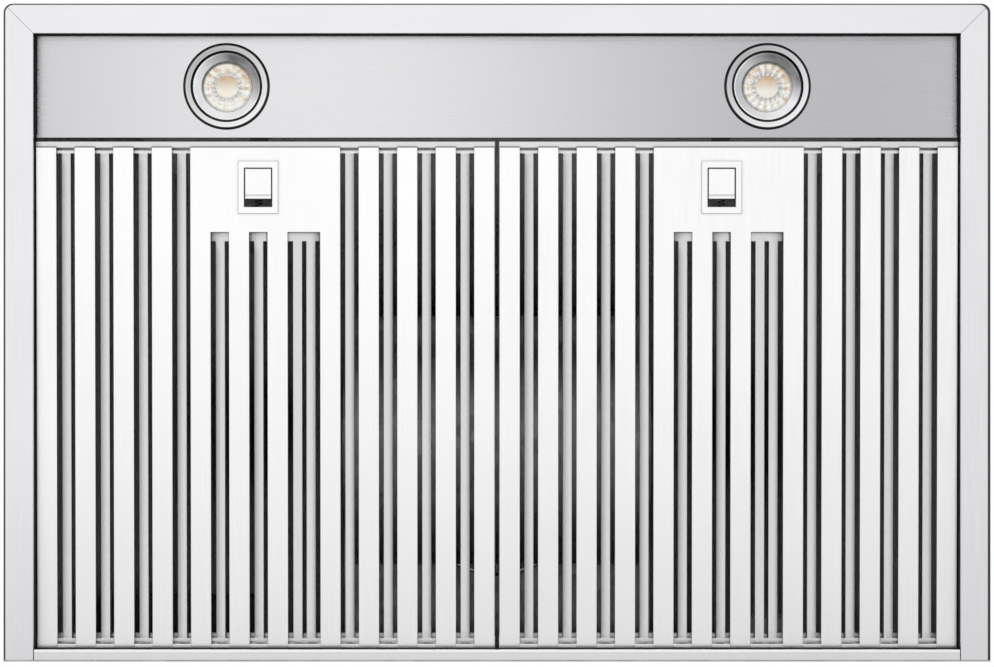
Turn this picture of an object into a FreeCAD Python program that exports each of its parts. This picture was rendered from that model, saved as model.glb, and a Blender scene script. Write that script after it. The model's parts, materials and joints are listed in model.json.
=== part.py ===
import FreeCAD, Part
import math
import os
import Sketcher

# Wall mount range hood. The wall plane is Y = 0, the front is at -Y, +Z is up and +X is to the right.
# Z = 0 is the underside of the rim and X = 0 is the centre line. All sizes are in millimetres.

doc = FreeCAD.newDocument("range_hood")
sheet = doc.addObject("Spreadsheet::Sheet", "Sizes")
nodes = []


class Dim:
    """A length that keeps its formula for the sheet beside its present value."""

    def __init__(self, text, value):
        self.text = text
        self.value = value

    def __add__(self, other):
        other = as_dim(other)
        return Dim(f"({self.text} + {other.text})", self.value + other.value)

    def __sub__(self, other):
        other = as_dim(other)
        return Dim(f"({self.text} - {other.text})", self.value - other.value)

    def __mul__(self, other):
        other = as_dim(other)
        return Dim(f"({self.text} * {other.text})", self.value * other.value)

    def __truediv__(self, other):
        other = as_dim(other)
        return Dim(f"({self.text} / {other.text})", self.value / other.value)

    def __radd__(self, other):
        return as_dim(other) + self

    def __rsub__(self, other):
        return as_dim(other) - self

    def __rmul__(self, other):
        return as_dim(other) * self

    def __neg__(self):
        return as_dim(0) - self


def as_dim(number):
    if isinstance(number, Dim):
        return number
    return Dim(f"({float(number)})", float(number))


def root(length):
    return Dim(f"sqrt({length.text})", math.sqrt(length.value))


def cosine(angle):
    return Dim(f"cos({angle.text})", math.cos(math.radians(angle.value)))


def sine(angle):
    return Dim(f"sin({angle.text})", math.sin(math.radians(angle.value)))


size_names = []


def size(alias, value):
    """Write one driving size to the sheet and return it as a formula."""
    size_names.append(alias)
    row = len(size_names)
    sheet.set(f"A{row}", alias)
    sheet.set(f"B{row}", str(value))
    sheet.setAlias(f"B{row}", alias)
    return Dim(f"Sizes.{alias}", float(value))


# Canopy sizes

hood_width = size("hood_width", 750)
hood_depth = size("hood_depth", 500)
fascia_height = size("fascia_height", 60)
canopy_height = size("canopy_height", 250)
gauge = size("gauge", 1)
corner_radius = size("corner_radius", 7)
rim_width = size("rim_width", 22.5)
lip_height = size("lip_height", 17)
top_flange = size("top_flange", 14)
slope_step = size("slope_step", 2.2)
wall_hole_radius = size("wall_hole_radius", 4)
wall_hole_spacing_x = size("wall_hole_spacing_x", 300)
wall_hole_spacing_z = size("wall_hole_spacing_z", 90)
wall_hole_low = size("wall_hole_low", 100)
rear_rail_width = size("rear_rail_width", 9)
rear_rail_foot = size("rear_rail_foot", 20)
rear_ledge = size("rear_ledge", 15)
panel_fit = size("panel_fit", 0.5)
panel_lap = size("panel_lap", 7.5)
panel_gap = size("panel_gap", 3.6)
light_panel_depth = size("light_panel_depth", 78.2)

# Chimney sizes

chimney_width = size("chimney_width", 260)
chimney_depth = size("chimney_depth", 240)
chimney_length = size("chimney_length", 380)
chimney_fit = size("chimney_fit", 0.4)
chimney_show = size("chimney_show", 50)
chimney_flange = size("chimney_flange", 15)
bracket_gauge = size("bracket_gauge", 1.5)
bracket_height = size("bracket_height", 30)
bracket_drop = size("bracket_drop", 10)
bracket_ear = size("bracket_ear", 30)
bracket_hole_radius = size("bracket_hole_radius", 3)
bracket_hole_spacing = size("bracket_hole_spacing", 120)

# Lamp sizes

lamp_spacing = size("lamp_spacing", 414)
trim_radius = size("trim_radius", 33.2)
trim_thickness = size("trim_thickness", 1.8)
trim_bevel = size("trim_bevel", 1.3)
trim_wall = size("trim_wall", 2)
trim_depth = size("trim_depth", 10)
trim_lip = size("trim_lip", 1.5)
lamp_radius = size("lamp_radius", 25.5)
lamp_groove = size("lamp_groove", 2)
lamp_fit = size("lamp_fit", 0.3)
lamp_seat_gap = size("lamp_seat_gap", 0.1)
lamp_proud = size("lamp_proud", 0.5)
lamp_rim = size("lamp_rim", 0.8)
lamp_neck = size("lamp_neck", 23)
lamp_neck_length = size("lamp_neck_length", 8)
lamp_length = size("lamp_length", 52)
lamp_base_radius = size("lamp_base_radius", 11.5)
lamp_base_length = size("lamp_base_length", 12)
lens_radius = size("lens_radius", 19.3)
lens_depth = size("lens_depth", 4)
lens_thickness = size("lens_thickness", 2.2)
board_radius = size("board_radius", 16)
board_thickness = size("board_thickness", 0.8)
socket_radius = size("socket_radius", 13)
socket_height = size("socket_height", 14)

# Filter sizes

filter_tilt = size("filter_tilt", 1.1)
filter_height = size("filter_height", 15)
filter_seam = size("filter_seam", 3)
filter_side_gap = size("filter_side_gap", 0.6)
frame_flange = size("frame_flange", 9)
front_lip = size("front_lip", 4.9)
rear_lip = size("rear_lip", 1.9)
ledge_gap = size("ledge_gap", 0.3)
hook_gap = size("hook_gap", 0.3)
hook_drop = size("hook_drop", 4)
frame_rear_gap = size("frame_rear_gap", 1)
strip_width = size("strip_width", 15.4)
strip_edge = size("strip_edge", 0.5)
strip_gauge = size("strip_gauge", 0.8)
strip_leg = size("strip_leg", 5.8)
strip_front_gap = size("strip_front_gap", 4)
strip_rear_gap = size("strip_rear_gap", 1.5)
wide_slot_extra = size("wide_slot_extra", 10.8)
plate_length = size("plate_length", 65.1)
channel_flat = size("channel_flat", 7)
channel_set_back = size("channel_set_back", 3.5)
channel_lap = size("channel_lap", 2)
channel_cap = size("channel_cap", 7)
channel_end_cap = size("channel_end_cap", 2.5)
wide_slot_slit = size("wide_slot_slit", 3.2)
channel_end_gap = size("channel_end_gap", 1.6)
leg_clearance = size("leg_clearance", 1.5)

# Latch sizes

latch_width = size("latch_width", 30.5)
latch_length = size("latch_length", 40)
latch_set_back = size("latch_set_back", 35)
latch_open_width = size("latch_open_width", 21.4)
latch_open_length = size("latch_open_length", 29.8)
latch_wall = size("latch_wall", 1)
latch_ledge = size("latch_ledge", 1.5)
latch_wall_height = size("latch_wall_height", 9)
latch_fit = size("latch_fit", 0.3)
latch_travel = size("latch_travel", 5)
tongue_length = size("tongue_length", 23)
tongue_fit = size("tongue_fit", 0.7)
bolt_width = size("bolt_width", 14)
bolt_thickness = size("bolt_thickness", 2)
bolt_web = size("bolt_web", 3)
bolt_engagement = size("bolt_engagement", 4)
bolt_clearance = size("bolt_clearance", 0.4)
window_gap = size("window_gap", 0.8)
spring_radius = size("spring_radius", 2.6)
spring_wire = size("spring_wire", 0.4)
spring_pitch = size("spring_pitch", 2.8)
spring_gap = size("spring_gap", 0.1)

# Blower sizes

blower_floor = size("blower_floor", 55)
outlet_neck = size("outlet_neck", 12)
scroll_step = size("scroll_step", 9)
blower_width = size("blower_width", 238)
inlet_throat_inset = size("inlet_throat_inset", 15)
inlet_hole_inset = size("inlet_hole_inset", 10)
inlet_flange_inset = size("inlet_flange_inset", 2)
inlet_depth = size("inlet_depth", 8)
motor_radius = size("motor_radius", 42)
motor_length = size("motor_length", 76)
motor_shoulder = size("motor_shoulder", 6)
motor_flange_radius = size("motor_flange_radius", 52)
motor_flange_thickness = size("motor_flange_thickness", 3)
motor_plate_gauge = size("motor_plate_gauge", 2)
motor_fit = size("motor_fit", 0.2)
motor_screw_circle = size("motor_screw_circle", 47)
screw_radius = size("screw_radius", 2)
screw_hole_gap = size("screw_hole_gap", 0.2)
screw_head_radius = size("screw_head_radius", 3.6)
screw_head_height = size("screw_head_height", 2.2)
screw_length = size("screw_length", 7)
shaft_radius = size("shaft_radius", 4)
shaft_fit = size("shaft_fit", 0.05)
wheel_clearance = size("wheel_clearance", 34)
wheel_gap = size("wheel_gap", 10)
wheel_end_gap = size("wheel_end_gap", 7)
wheel_disc = size("wheel_disc", 1.5)
wheel_hub_radius = size("wheel_hub_radius", 11)
wheel_hub_length = size("wheel_hub_length", 18)
wheel_ring_width = size("wheel_ring_width", 2.5)
wheel_ring_depth = size("wheel_ring_depth", 4)
blade_depth = size("blade_depth", 11)
blade_lean = size("blade_lean", 6)
blade_gauge = size("blade_gauge", 1.2)
blade_tip_gap = size("blade_tip_gap", 0.4)
blade_count = 30

# Outlet sizes

collar_radius = size("collar_radius", 75)
collar_wall = size("collar_wall", 1.2)
collar_height = size("collar_height", 55)
collar_flange_radius = size("collar_flange_radius", 88)
collar_screw_circle = size("collar_screw_circle", 82)
peg_length = size("peg_length", 10)
damper_height = size("damper_height", 20)
damper_rod_radius = size("damper_rod_radius", 2)
damper_rod_inset = size("damper_rod_inset", 0.2)
damper_fit = size("damper_fit", 0.05)
damper_gap = size("damper_gap", 1.2)
damper_gauge = size("damper_gauge", 1)
damper_barrel = size("damper_barrel", 3.4)
damper_barrel_gap = size("damper_barrel_gap", 0.4)
damper_seat_gap = size("damper_seat_gap", 0.2)
damper_knuckle = size("damper_knuckle", 30)
damper_knuckle_gap = size("damper_knuckle_gap", 0.5)
gland_inset_x = size("gland_inset_x", 30)
gland_inset_y = size("gland_inset_y", 32)
gland_bore = size("gland_bore", 4.5)
gland_thread = size("gland_thread", 8)
gland_head = size("gland_head", 11)
gland_fit = size("gland_fit", 0.3)
gland_nut = size("gland_nut", 5)
gland_tail = size("gland_tail", 4)
gland_head_height = size("gland_head_height", 4)
gland_nose = size("gland_nose", 7)
gland_nose_height = size("gland_nose_height", 12)

# Control sizes

bezel_width = size("bezel_width", 160)
bezel_height = size("bezel_height", 26)
bezel_centre_z = size("bezel_centre_z", 36)
bezel_fit = size("bezel_fit", 0.2)
bezel_depth = size("bezel_depth", 4)
bezel_flange = size("bezel_flange", 4)
bezel_flange_gauge = size("bezel_flange_gauge", 1.5)
button_radius = size("button_radius", 9)
button_fit = size("button_fit", 0.3)
button_pitch = size("button_pitch", 30)
button_length = size("button_length", 8)
button_flange = size("button_flange", 1.5)
button_flange_gauge = size("button_flange_gauge", 1.5)
button_flange_gap = size("button_flange_gap", 0.2)
button_travel = size("button_travel", 2.5)
board_stand_off = size("board_stand_off", 8)
post_radius = size("post_radius", 2)
post_inset = size("post_inset", 4)
switch_board_gauge = size("switch_board_gauge", 1.6)
switch_radius = size("switch_radius", 4)
switch_gap = size("switch_gap", 0.2)

# Electrical box sizes

box_inset = size("box_inset", 90)
box_width = size("box_width", 100)
box_low = size("box_low", 65)
box_height = size("box_height", 50)
box_depth = size("box_depth", 40)
box_wall = size("box_wall", 2)
capacitor_inset = size("capacitor_inset", 185)
capacitor_low = size("capacitor_low", 75)
capacitor_width = size("capacitor_width", 50)
capacitor_height = size("capacitor_height", 38)
capacitor_depth = size("capacitor_depth", 25)

doc.recompute()

# Lengths worked out from the sizes

half = hood_width / 2
chimney_half = chimney_width / 2
slope_top = canopy_height - gauge
slope_rise = slope_top - fascia_height
slope_front_run = hood_depth - slope_step - chimney_depth
slope_side_run = half - slope_step - chimney_half
slope_front_foot = gauge * root(1 + (slope_front_run / slope_rise) * (slope_front_run / slope_rise))
slope_side_foot = gauge * root(1 + (slope_side_run / slope_rise) * (slope_side_run / slope_rise))
arc_share = 1 - math.sqrt(0.5)
corner_mid = corner_radius * arc_share
corner_mid_inner = corner_mid + gauge * math.sqrt(0.5)
over = 5

hinge_y = rear_rail_width - gauge / 2
opening_width = hood_width - 2 * rim_width
filter_width = (opening_width - 2 * filter_side_gap - filter_seam) / 2
filter_count = 12
comb_first = 4
wide_after = 6
strip_pitch = (filter_width - strip_width - 2 * strip_edge - wide_slot_extra) / (filter_count - 1)
slot_width = strip_pitch - strip_width
light_rear = hood_depth - rim_width - light_panel_depth
lamp_inset = rim_width + light_panel_depth / 2
filter_length = (light_rear - panel_gap - hinge_y) / cosine(filter_tilt)

frame_rear = -(gauge / 2) - frame_rear_gap
channel_front = -filter_length + front_lip + channel_end_gap
channel_rear = frame_rear - rear_lip - channel_end_gap
frame_low = ledge_gap
frame_high = ledge_gap + filter_height
strip_low = frame_low - strip_gauge
plate_end = strip_front_gap + plate_length
bolt_reach = panel_gap + bolt_engagement
bolt_low = (
    lip_height + gauge + bolt_clearance - rear_ledge
    + (filter_length + bolt_reach) * sine(filter_tilt)
) / cosine(filter_tilt)
channel_top = frame_high - gauge
latch_x = strip_edge + 5 * strip_pitch + (strip_pitch + strip_width) / 2

lamp_x = lamp_spacing / 2
collar_y = -(chimney_depth / 2)
collar_bore = collar_radius - collar_wall
gland_x = -chimney_half + gland_inset_x
gland_y = -chimney_depth + gland_inset_y
scroll_half = scroll_step / 2
scroll_radius = (slope_top - outlet_neck - blower_floor - gauge + 3 * scroll_step) / 2
fan_axis_y = collar_y - scroll_radius / 2
fan_axis_z = blower_floor + gauge + scroll_radius - scroll_half
wheel_radius = scroll_radius - wheel_clearance
inlet_throat = wheel_radius - inlet_throat_inset
inlet_radius = wheel_radius - inlet_hole_inset
inlet_flange_radius = wheel_radius - inlet_flange_inset
blower_half = blower_width / 2
screw_hole = screw_radius + screw_hole_gap
peg_level = damper_height - damper_gauge / 2 - damper_seat_gap - damper_rod_radius
box_left = -half + box_inset
capacitor_left = half - capacitor_inset


# Drawing helpers


def bind(target, name, length):
    """Bind a property to the formula of its length."""
    target.setExpression(name, as_dim(length).text)


def keep(piece, label):
    piece.Label = label
    nodes.append(piece)
    return piece


def new_member(name):
    """A body that becomes part of a group."""
    body = doc.addObject("PartDesign::Body", name)
    body.AllowCompound = True
    return body


def new_body(label):
    """A body that is a node of its own."""
    return keep(new_member(label), label)


def new_sketch(body, plane, offset):
    sketch = body.newObject("Sketcher::SketchObject", "Sketch")
    support = [item for item in body.Origin.OriginFeatures if item.Role == f"{plane}_Plane"][0]
    sketch.AttachmentSupport = [(support, "")]
    sketch.MapMode = "FlatFace"
    offset = as_dim(offset)
    sketch.AttachmentOffset = FreeCAD.Placement(FreeCAD.Vector(0, 0, offset.value), FreeCAD.Rotation())
    if "Sizes." in offset.text:
        sketch.setExpression("AttachmentOffset.Base.z", offset.text)
    return sketch


def hold(sketch, kind, length, *places):
    """Add one dimension to a sketch and bind it to its formula."""
    length = as_dim(length)
    index = sketch.addConstraint(Sketcher.Constraint(kind, *places, length.value))
    if "Sizes." in length.text:
        sketch.setExpression(f"Constraints[{index}]", length.text)


def arc_between(start, end, radius, turn):
    """The short arc from start to end, turning left for +1 and right for -1."""
    chord = end - start
    middle = (start + end) * 0.5
    rise = math.sqrt(max(radius * radius - chord.Length * chord.Length / 4, 0))
    side = FreeCAD.Vector(-chord.y, chord.x, 0).normalize()
    centre = middle + side * (rise * turn)
    first, last = (start, end) if turn > 0 else (end, start)
    angle_first = math.atan2(first.y - centre.y, first.x - centre.x)
    angle_last = math.atan2(last.y - centre.y, last.x - centre.x)
    if angle_last < angle_first:
        angle_last += 2 * math.pi
    circle = Part.Circle(centre, FreeCAD.Vector(0, 0, 1), radius)
    return Part.ArcOfCircle(circle, angle_first, angle_last)


def draw_loop(sketch, points, arcs=None):
    """Draw a closed outline whose corners and radii follow their formulas."""
    arcs = arcs or {}
    corners = [(as_dim(u), as_dim(v)) for u, v in points]
    vectors = [FreeCAD.Vector(u.value, v.value, 0) for u, v in corners]
    count = len(corners)
    first = sketch.GeometryCount
    ends = []
    for i in range(count):
        start = vectors[i]
        end = vectors[(i + 1) % count]
        if i in arcs:
            radius, turn = arcs[i]
            sketch.addGeometry(arc_between(start, end, as_dim(radius).value, turn))
            ends.append((1, 2) if turn > 0 else (2, 1))
        else:
            sketch.addGeometry(Part.LineSegment(start, end))
            ends.append((1, 2))
    joins = []
    for i in range(count):
        after = (i + 1) % count
        joins.append(Sketcher.Constraint("Coincident", first + i, ends[i][1], first + after, ends[after][0]))
    sketch.addConstraint(joins)
    for i, (u, v) in enumerate(corners):
        hold(sketch, "DistanceX", u, -1, 1, first + i, ends[i][0])
        hold(sketch, "DistanceY", v, -1, 1, first + i, ends[i][0])
    for i, (radius, turn) in arcs.items():
        hold(sketch, "Radius", radius, first + i)


def draw_circle(sketch, u, v, radius):
    u, v, radius = as_dim(u), as_dim(v), as_dim(radius)
    centre = FreeCAD.Vector(u.value, v.value, 0)
    index = sketch.addGeometry(Part.Circle(centre, FreeCAD.Vector(0, 0, 1), radius.value))
    hold(sketch, "DistanceX", u, -1, 1, index, 3)
    hold(sketch, "DistanceY", v, -1, 1, index, 3)
    hold(sketch, "Radius", radius, index)


def box_loop(u_low, u_high, v_low, v_high):
    return [(u_low, v_low), (u_high, v_low), (u_high, v_high), (u_low, v_high)]


def prism(body, plane, low, length, loops=(), circles=(), arcs=None, cut=False):
    """Extrude outlines from low to low + length along the axis across the plane."""
    low, length = as_dim(low), as_dim(length)
    offset = -(low + length) if plane == "XZ" else low
    sketch = new_sketch(body, plane, offset)
    for loop in loops:
        draw_loop(sketch, loop, arcs)
    for circle in circles:
        draw_circle(sketch, *circle)
    kind = "PartDesign::Pocket" if cut else "PartDesign::Pad"
    feature = body.newObject(kind, "Pocket" if cut else "Pad")
    feature.Profile = sketch
    feature.Reversed = cut
    bind(feature, "Length", length)
    return feature


def lathe(body, plane, axis, points):
    """Turn an outline a full circle about the sketch's own axis."""
    sketch = new_sketch(body, plane, 0)
    draw_loop(sketch, points)
    turned = body.newObject("PartDesign::Revolution", "Revolution")
    turned.Profile = sketch
    turned.ReferenceAxis = (sketch, [axis])
    turned.Angle = 360
    return turned


def place(piece, x, y, z, tilt=None):
    """Set a piece's position, and its lean about the X axis where it has one."""
    x, y, z = as_dim(x), as_dim(y), as_dim(z)
    lean = tilt.value if tilt else 0
    base = FreeCAD.Vector(x.value, y.value, z.value)
    piece.Placement = FreeCAD.Placement(base, FreeCAD.Rotation(FreeCAD.Vector(1, 0, 0), lean))
    for name, length in (("x", x), ("y", y), ("z", z)):
        if "Sizes." in length.text:
            piece.setExpression(f"Placement.Base.{name}", length.text)
    if tilt:
        piece.setExpression("Placement.Rotation.Angle", tilt.text)


def mirror_of(source, name):
    piece = doc.addObject("Part::Mirroring", name)
    piece.Source = source
    piece.Normal = FreeCAD.Vector(1, 0, 0)
    piece.Base = FreeCAD.Vector(0, 0, 0)
    return piece


def mirrored(source, label):
    return keep(mirror_of(source, label), label)


def shifted(source, label, x):
    piece = doc.addObject("Part::Compound", label)
    piece.Links = [source]
    place(piece, x, 0, 0)
    return keep(piece, label)


def grouped(pieces, label):
    group = doc.addObject("Part::Compound", label)
    group.Links = pieces
    return keep(group, label)


# Canopy


def make_front_fascia():
    body = new_body("front_fascia")
    outer_left = (-half + corner_mid, -hood_depth + corner_mid)
    outer_right = (half - corner_mid, -hood_depth + corner_mid)
    inner_left = (-half + corner_mid_inner, -hood_depth + corner_mid_inner)
    inner_right = (half - corner_mid_inner, -hood_depth + corner_mid_inner)
    wall = [
        outer_left,
        (-half + corner_radius, -hood_depth),
        (half - corner_radius, -hood_depth),
        outer_right,
        inner_right,
        (half - corner_radius, -hood_depth + gauge),
        (-half + corner_radius, -hood_depth + gauge),
        inner_left,
    ]
    outer_arc = (corner_radius, 1)
    inner_arc = (corner_radius - gauge, -1)
    bends = {0: outer_arc, 2: outer_arc, 4: inner_arc, 6: inner_arc}
    prism(body, "XY", 0, fascia_height, [wall], arcs=bends)
    for low, width in ((as_dim(0), rim_width), (fascia_height - gauge, top_flange)):
        flange = [
            outer_left,
            (-half + corner_radius, -hood_depth),
            (half - corner_radius, -hood_depth),
            outer_right,
            (half - width, -hood_depth + width),
            (-half + width, -hood_depth + width),
        ]
        prism(body, "XY", low, gauge, [flange], arcs={0: outer_arc, 2: outer_arc})
    lip = [
        (-half + rim_width, -hood_depth + rim_width),
        (-half + rim_width - gauge, -hood_depth + rim_width - gauge),
        (half - rim_width + gauge, -hood_depth + rim_width - gauge),
        (half - rim_width, -hood_depth + rim_width),
    ]
    prism(body, "XY", 0, lip_height, [lip])
    opening = box_loop(
        -(bezel_width / 2) - bezel_fit,
        bezel_width / 2 + bezel_fit,
        bezel_centre_z - bezel_height / 2 - bezel_fit,
        bezel_centre_z + bezel_height / 2 + bezel_fit,
    )
    prism(body, "XZ", -hood_depth - over, gauge + 2 * over, [opening], cut=True)


def make_left_fascia():
    body = new_body("left_fascia")
    outer = (-half + corner_mid, -hood_depth + corner_mid)
    inner = (-half + corner_mid_inner, -hood_depth + corner_mid_inner)
    wall = [
        outer,
        inner,
        (-half + gauge, -hood_depth + corner_radius),
        (-half + gauge, -gauge),
        (-half, -gauge),
        (-half, -hood_depth + corner_radius),
    ]
    bends = {1: (corner_radius - gauge, -1), 5: (corner_radius, 1)}
    prism(body, "XY", 0, fascia_height, [wall], arcs=bends)
    for low, width in ((as_dim(0), rim_width), (fascia_height - gauge, top_flange)):
        flange = [
            outer,
            (-half + width, -hood_depth + width),
            (-half + width, -gauge),
            (-half, -gauge),
            (-half, -hood_depth + corner_radius),
        ]
        prism(body, "XY", low, gauge, [flange], arcs={4: (corner_radius, 1)})
    lip = [
        (-half + rim_width - gauge, -hood_depth + rim_width - gauge),
        (-half + rim_width, -hood_depth + rim_width),
        (-half + rim_width, -gauge),
        (-half + rim_width - gauge, -gauge),
    ]
    prism(body, "XY", 0, lip_height, [lip])
    return body


def make_front_slope():
    body = new_body("front_slope_panel")
    foot = -hood_depth + slope_step
    panel = [
        (foot, fascia_height),
        (foot + slope_front_foot, fascia_height),
        (-chimney_depth + slope_front_foot, slope_top),
        (-chimney_depth, slope_top),
    ]
    prism(body, "YZ", -half, hood_width, [panel])
    for side in (-1, 1):
        trimmed = [
            (side * (half + over), fascia_height - over),
            (side * (half - slope_step), fascia_height - over),
            (side * (half - slope_step), fascia_height),
            (side * chimney_half, slope_top),
            (side * chimney_half, slope_top + over),
            (side * (half + over), slope_top + over),
        ]
        prism(body, "XZ", -hood_depth, hood_depth, [trimmed], cut=True)


def make_left_slope():
    body = new_body("left_slope_panel")
    foot = -half + slope_step
    panel = [
        (foot, fascia_height),
        (foot + slope_side_foot, fascia_height),
        (-chimney_half + slope_side_foot, slope_top),
        (-chimney_half, slope_top),
    ]
    prism(body, "XZ", -hood_depth, hood_depth - gauge, [panel])
    front = -hood_depth + slope_step + slope_front_foot
    trimmed = [
        (-hood_depth - over, fascia_height - over),
        (front, fascia_height - over),
        (front, fascia_height),
        (-chimney_depth + slope_front_foot, slope_top),
        (-chimney_depth + slope_front_foot, slope_top + over),
        (-hood_depth - over, slope_top + over),
    ]
    prism(body, "YZ", -half - over, half + over, [trimmed], cut=True)
    return body


def make_back_panel():
    body = new_body("back_panel")
    outline = [
        (-half, 0),
        (half, 0),
        (half, fascia_height),
        (half - slope_step, fascia_height),
        (chimney_half, slope_top),
        (-chimney_half, slope_top),
        (-half + slope_step, fascia_height),
        (-half, fascia_height),
    ]
    holes = []
    for side in (-1, 1):
        for level in (wall_hole_low, wall_hole_low + wall_hole_spacing_z):
            holes.append((side * wall_hole_spacing_x / 2, level, wall_hole_radius))
    prism(body, "XZ", -gauge, gauge, [outline], circles=holes)


def collar_screw_places():
    reach = collar_screw_circle * math.sqrt(0.5)
    return [(across * reach, along * reach) for across in (-1, 1) for along in (-1, 1)]


def make_top_plate():
    body = new_body("top_plate")
    outline = box_loop(-chimney_half, chimney_half, -chimney_depth, 0)
    holes = [(0, collar_y, collar_bore), (gland_x, gland_y, gland_thread + gland_fit)]
    for x, y in collar_screw_places():
        holes.append((x, collar_y + y, screw_hole))
    prism(body, "XY", slope_top, gauge, [outline], circles=holes)


def make_rear_rail():
    """The rail along the wall, its rounded upper edge the ledge that the filters hook over and turn on."""
    body = new_body("rear_rail")
    ledge_round = gauge / 2
    section = [
        (-rear_rail_width, 0),
        (-gauge, 0),
        (-gauge, rear_rail_foot),
        (-2 * gauge, rear_rail_foot),
        (-2 * gauge, gauge),
        (-rear_rail_width + gauge, gauge),
        (-rear_rail_width + gauge, rear_ledge - ledge_round),
        (-rear_rail_width + ledge_round, rear_ledge),
        (-rear_rail_width, rear_ledge - ledge_round),
    ]
    length = opening_width - 2 * panel_fit
    bends = {6: (ledge_round, 1), 7: (ledge_round, 1)}
    prism(body, "YZ", -(length / 2), length, [section], arcs=bends)


def make_light_panel():
    body = new_body("light_panel")
    reach = half - rim_width + panel_lap
    outline = box_loop(-reach, reach, -hood_depth + rim_width - panel_lap, -light_rear)
    holes = [(side * lamp_x, -hood_depth + lamp_inset, trim_hole) for side in (-1, 1)]
    prism(body, "XY", lip_height, gauge, [outline], circles=holes)


# Lamps

trim_inner = lamp_radius + lamp_groove
trim_outer = trim_inner + trim_wall
trim_hole = trim_outer + lamp_fit


def lamp_place(piece, side):
    place(piece, side * lamp_x, -hood_depth + lamp_inset, lip_height)


def make_lamp_trim(label, side):
    body = new_body(label)
    section = [
        (trim_inner, -trim_thickness),
        (trim_radius - trim_bevel, -trim_thickness),
        (trim_radius, -trim_thickness + trim_bevel),
        (trim_radius, 0),
        (trim_outer, 0),
        (trim_outer, trim_depth),
        (lamp_neck + 2 * lamp_fit, trim_depth),
        (lamp_neck + 2 * lamp_fit, trim_depth - trim_lip),
        (trim_inner, trim_depth - trim_lip),
    ]
    lathe(body, "XZ", "V_Axis", section)
    lamp_place(body, side)


def make_lamp_housing(label, side):
    body = new_body(label)
    face = -lamp_proud
    shoulder = trim_depth - trim_lip - lamp_seat_gap
    seat = lens_radius + lamp_fit
    floor = lens_depth + lens_thickness + board_thickness + 3 * lamp_seat_gap
    cone_start = shoulder + lamp_neck_length
    section = [
        (lamp_radius, face),
        (lamp_radius, shoulder),
        (lamp_neck, shoulder),
        (lamp_neck, cone_start),
        (lamp_base_radius, lamp_length - lamp_base_length),
        (lamp_base_radius, lamp_length),
        (0, lamp_length),
        (0, floor),
        (seat, floor),
        (seat, lens_depth),
        (lamp_radius - lamp_rim, face),
    ]
    lathe(body, "XZ", "V_Axis", section)
    lamp_place(body, side)


def make_lamp_lens(label, side):
    body = new_body(label)
    low = lens_depth + lamp_seat_gap
    prism(body, "XY", low, lens_thickness, circles=[(0, 0, lens_radius)])
    lamp_place(body, side)


def disc(name, radius, height, x, y, z):
    piece = doc.addObject("Part::Cylinder", name)
    bind(piece, "Radius", radius)
    bind(piece, "Height", height)
    place(piece, x, y, z)
    return piece


def make_lamp_inner_groups():
    board_low = lip_height + lens_depth + lens_thickness + 2 * lamp_seat_gap
    lamp_y = -hood_depth + lamp_inset
    boards = []
    sockets = []
    for side in (-1, 1):
        boards.append(disc("board", board_radius, board_thickness, side * lamp_x, lamp_y, board_low))
        sockets.append(
            disc("socket", socket_radius, socket_height, side * lamp_x, lamp_y, lip_height + lamp_length)
        )
    grouped(boards, "led_boards")
    grouped(sockets, "lamp_sockets")


# Filters, drawn flat about their own hinge line and then placed with their lean


def filter_place(piece):
    place(piece, -filter_width - filter_seam / 2, -hinge_y, rear_ledge, filter_tilt)


def strip_start(index):
    start = strip_edge + index * strip_pitch
    if index > wide_after:
        start = start + wide_slot_extra
    return start


def make_frame_ends():
    """The front and rear rails of a filter frame, the rear one with its hook over the ledge."""
    body = new_member("frame_ends")
    front = -filter_length
    rear = frame_rear
    reach = frame_flange + over
    front_section = [
        (front, frame_low),
        (front + front_lip, frame_low),
        (front + front_lip, frame_low + gauge),
        (front + gauge, frame_low + gauge),
        (front + gauge, frame_high - gauge),
        (front + frame_flange, frame_high - gauge),
        (front + frame_flange, frame_high),
        (front, frame_high),
    ]
    prism(body, "YZ", 0, filter_width, [front_section])
    hook_front = gauge / 2 + hook_gap
    hook_rear = hook_front + gauge
    rear_section = [
        (rear - rear_lip, frame_low),
        (hook_front, frame_low),
        (hook_front, -hook_drop),
        (hook_rear, -hook_drop),
        (hook_rear, frame_low + gauge),
        (rear, frame_low + gauge),
        (rear, frame_high),
        (rear - frame_flange, frame_high),
        (rear - frame_flange, frame_high - gauge),
        (rear - gauge, frame_high - gauge),
        (rear - gauge, frame_low + gauge),
        (rear - rear_lip, frame_low + gauge),
    ]
    prism(body, "YZ", 0, filter_width, [rear_section])
    left_cuts = [
        [(-over, front - over), (reach, front + reach), (-over, front + reach)],
        [(-over, rear + over), (-over, rear - reach), (reach, rear - reach), (0, rear)],
    ]
    for cut in left_cuts:
        right = [(filter_width - x, y) for x, y in reversed(cut)]
        prism(body, "XY", frame_low - over, filter_height + 2 * over, [cut], cut=True)
        prism(body, "XY", frame_low - over, filter_height + 2 * over, [right], cut=True)
    window = box_loop(
        latch_x - bolt_width / 2 - window_gap,
        latch_x + bolt_width / 2 + window_gap,
        bolt_low - window_gap,
        bolt_low + bolt_thickness + window_gap,
    )
    prism(body, "XZ", front - over, 2 * over, [window], cut=True)
    passage = box_loop(
        latch_x - bolt_width / 2 - latch_fit,
        latch_x + bolt_width / 2 + latch_fit,
        bolt_low - latch_fit,
        bolt_low + bolt_thickness + latch_fit,
    )
    prism(body, "XZ", front - over, frame_flange + 2 * over, [passage], cut=True)
    filter_place(body)
    return body


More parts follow.
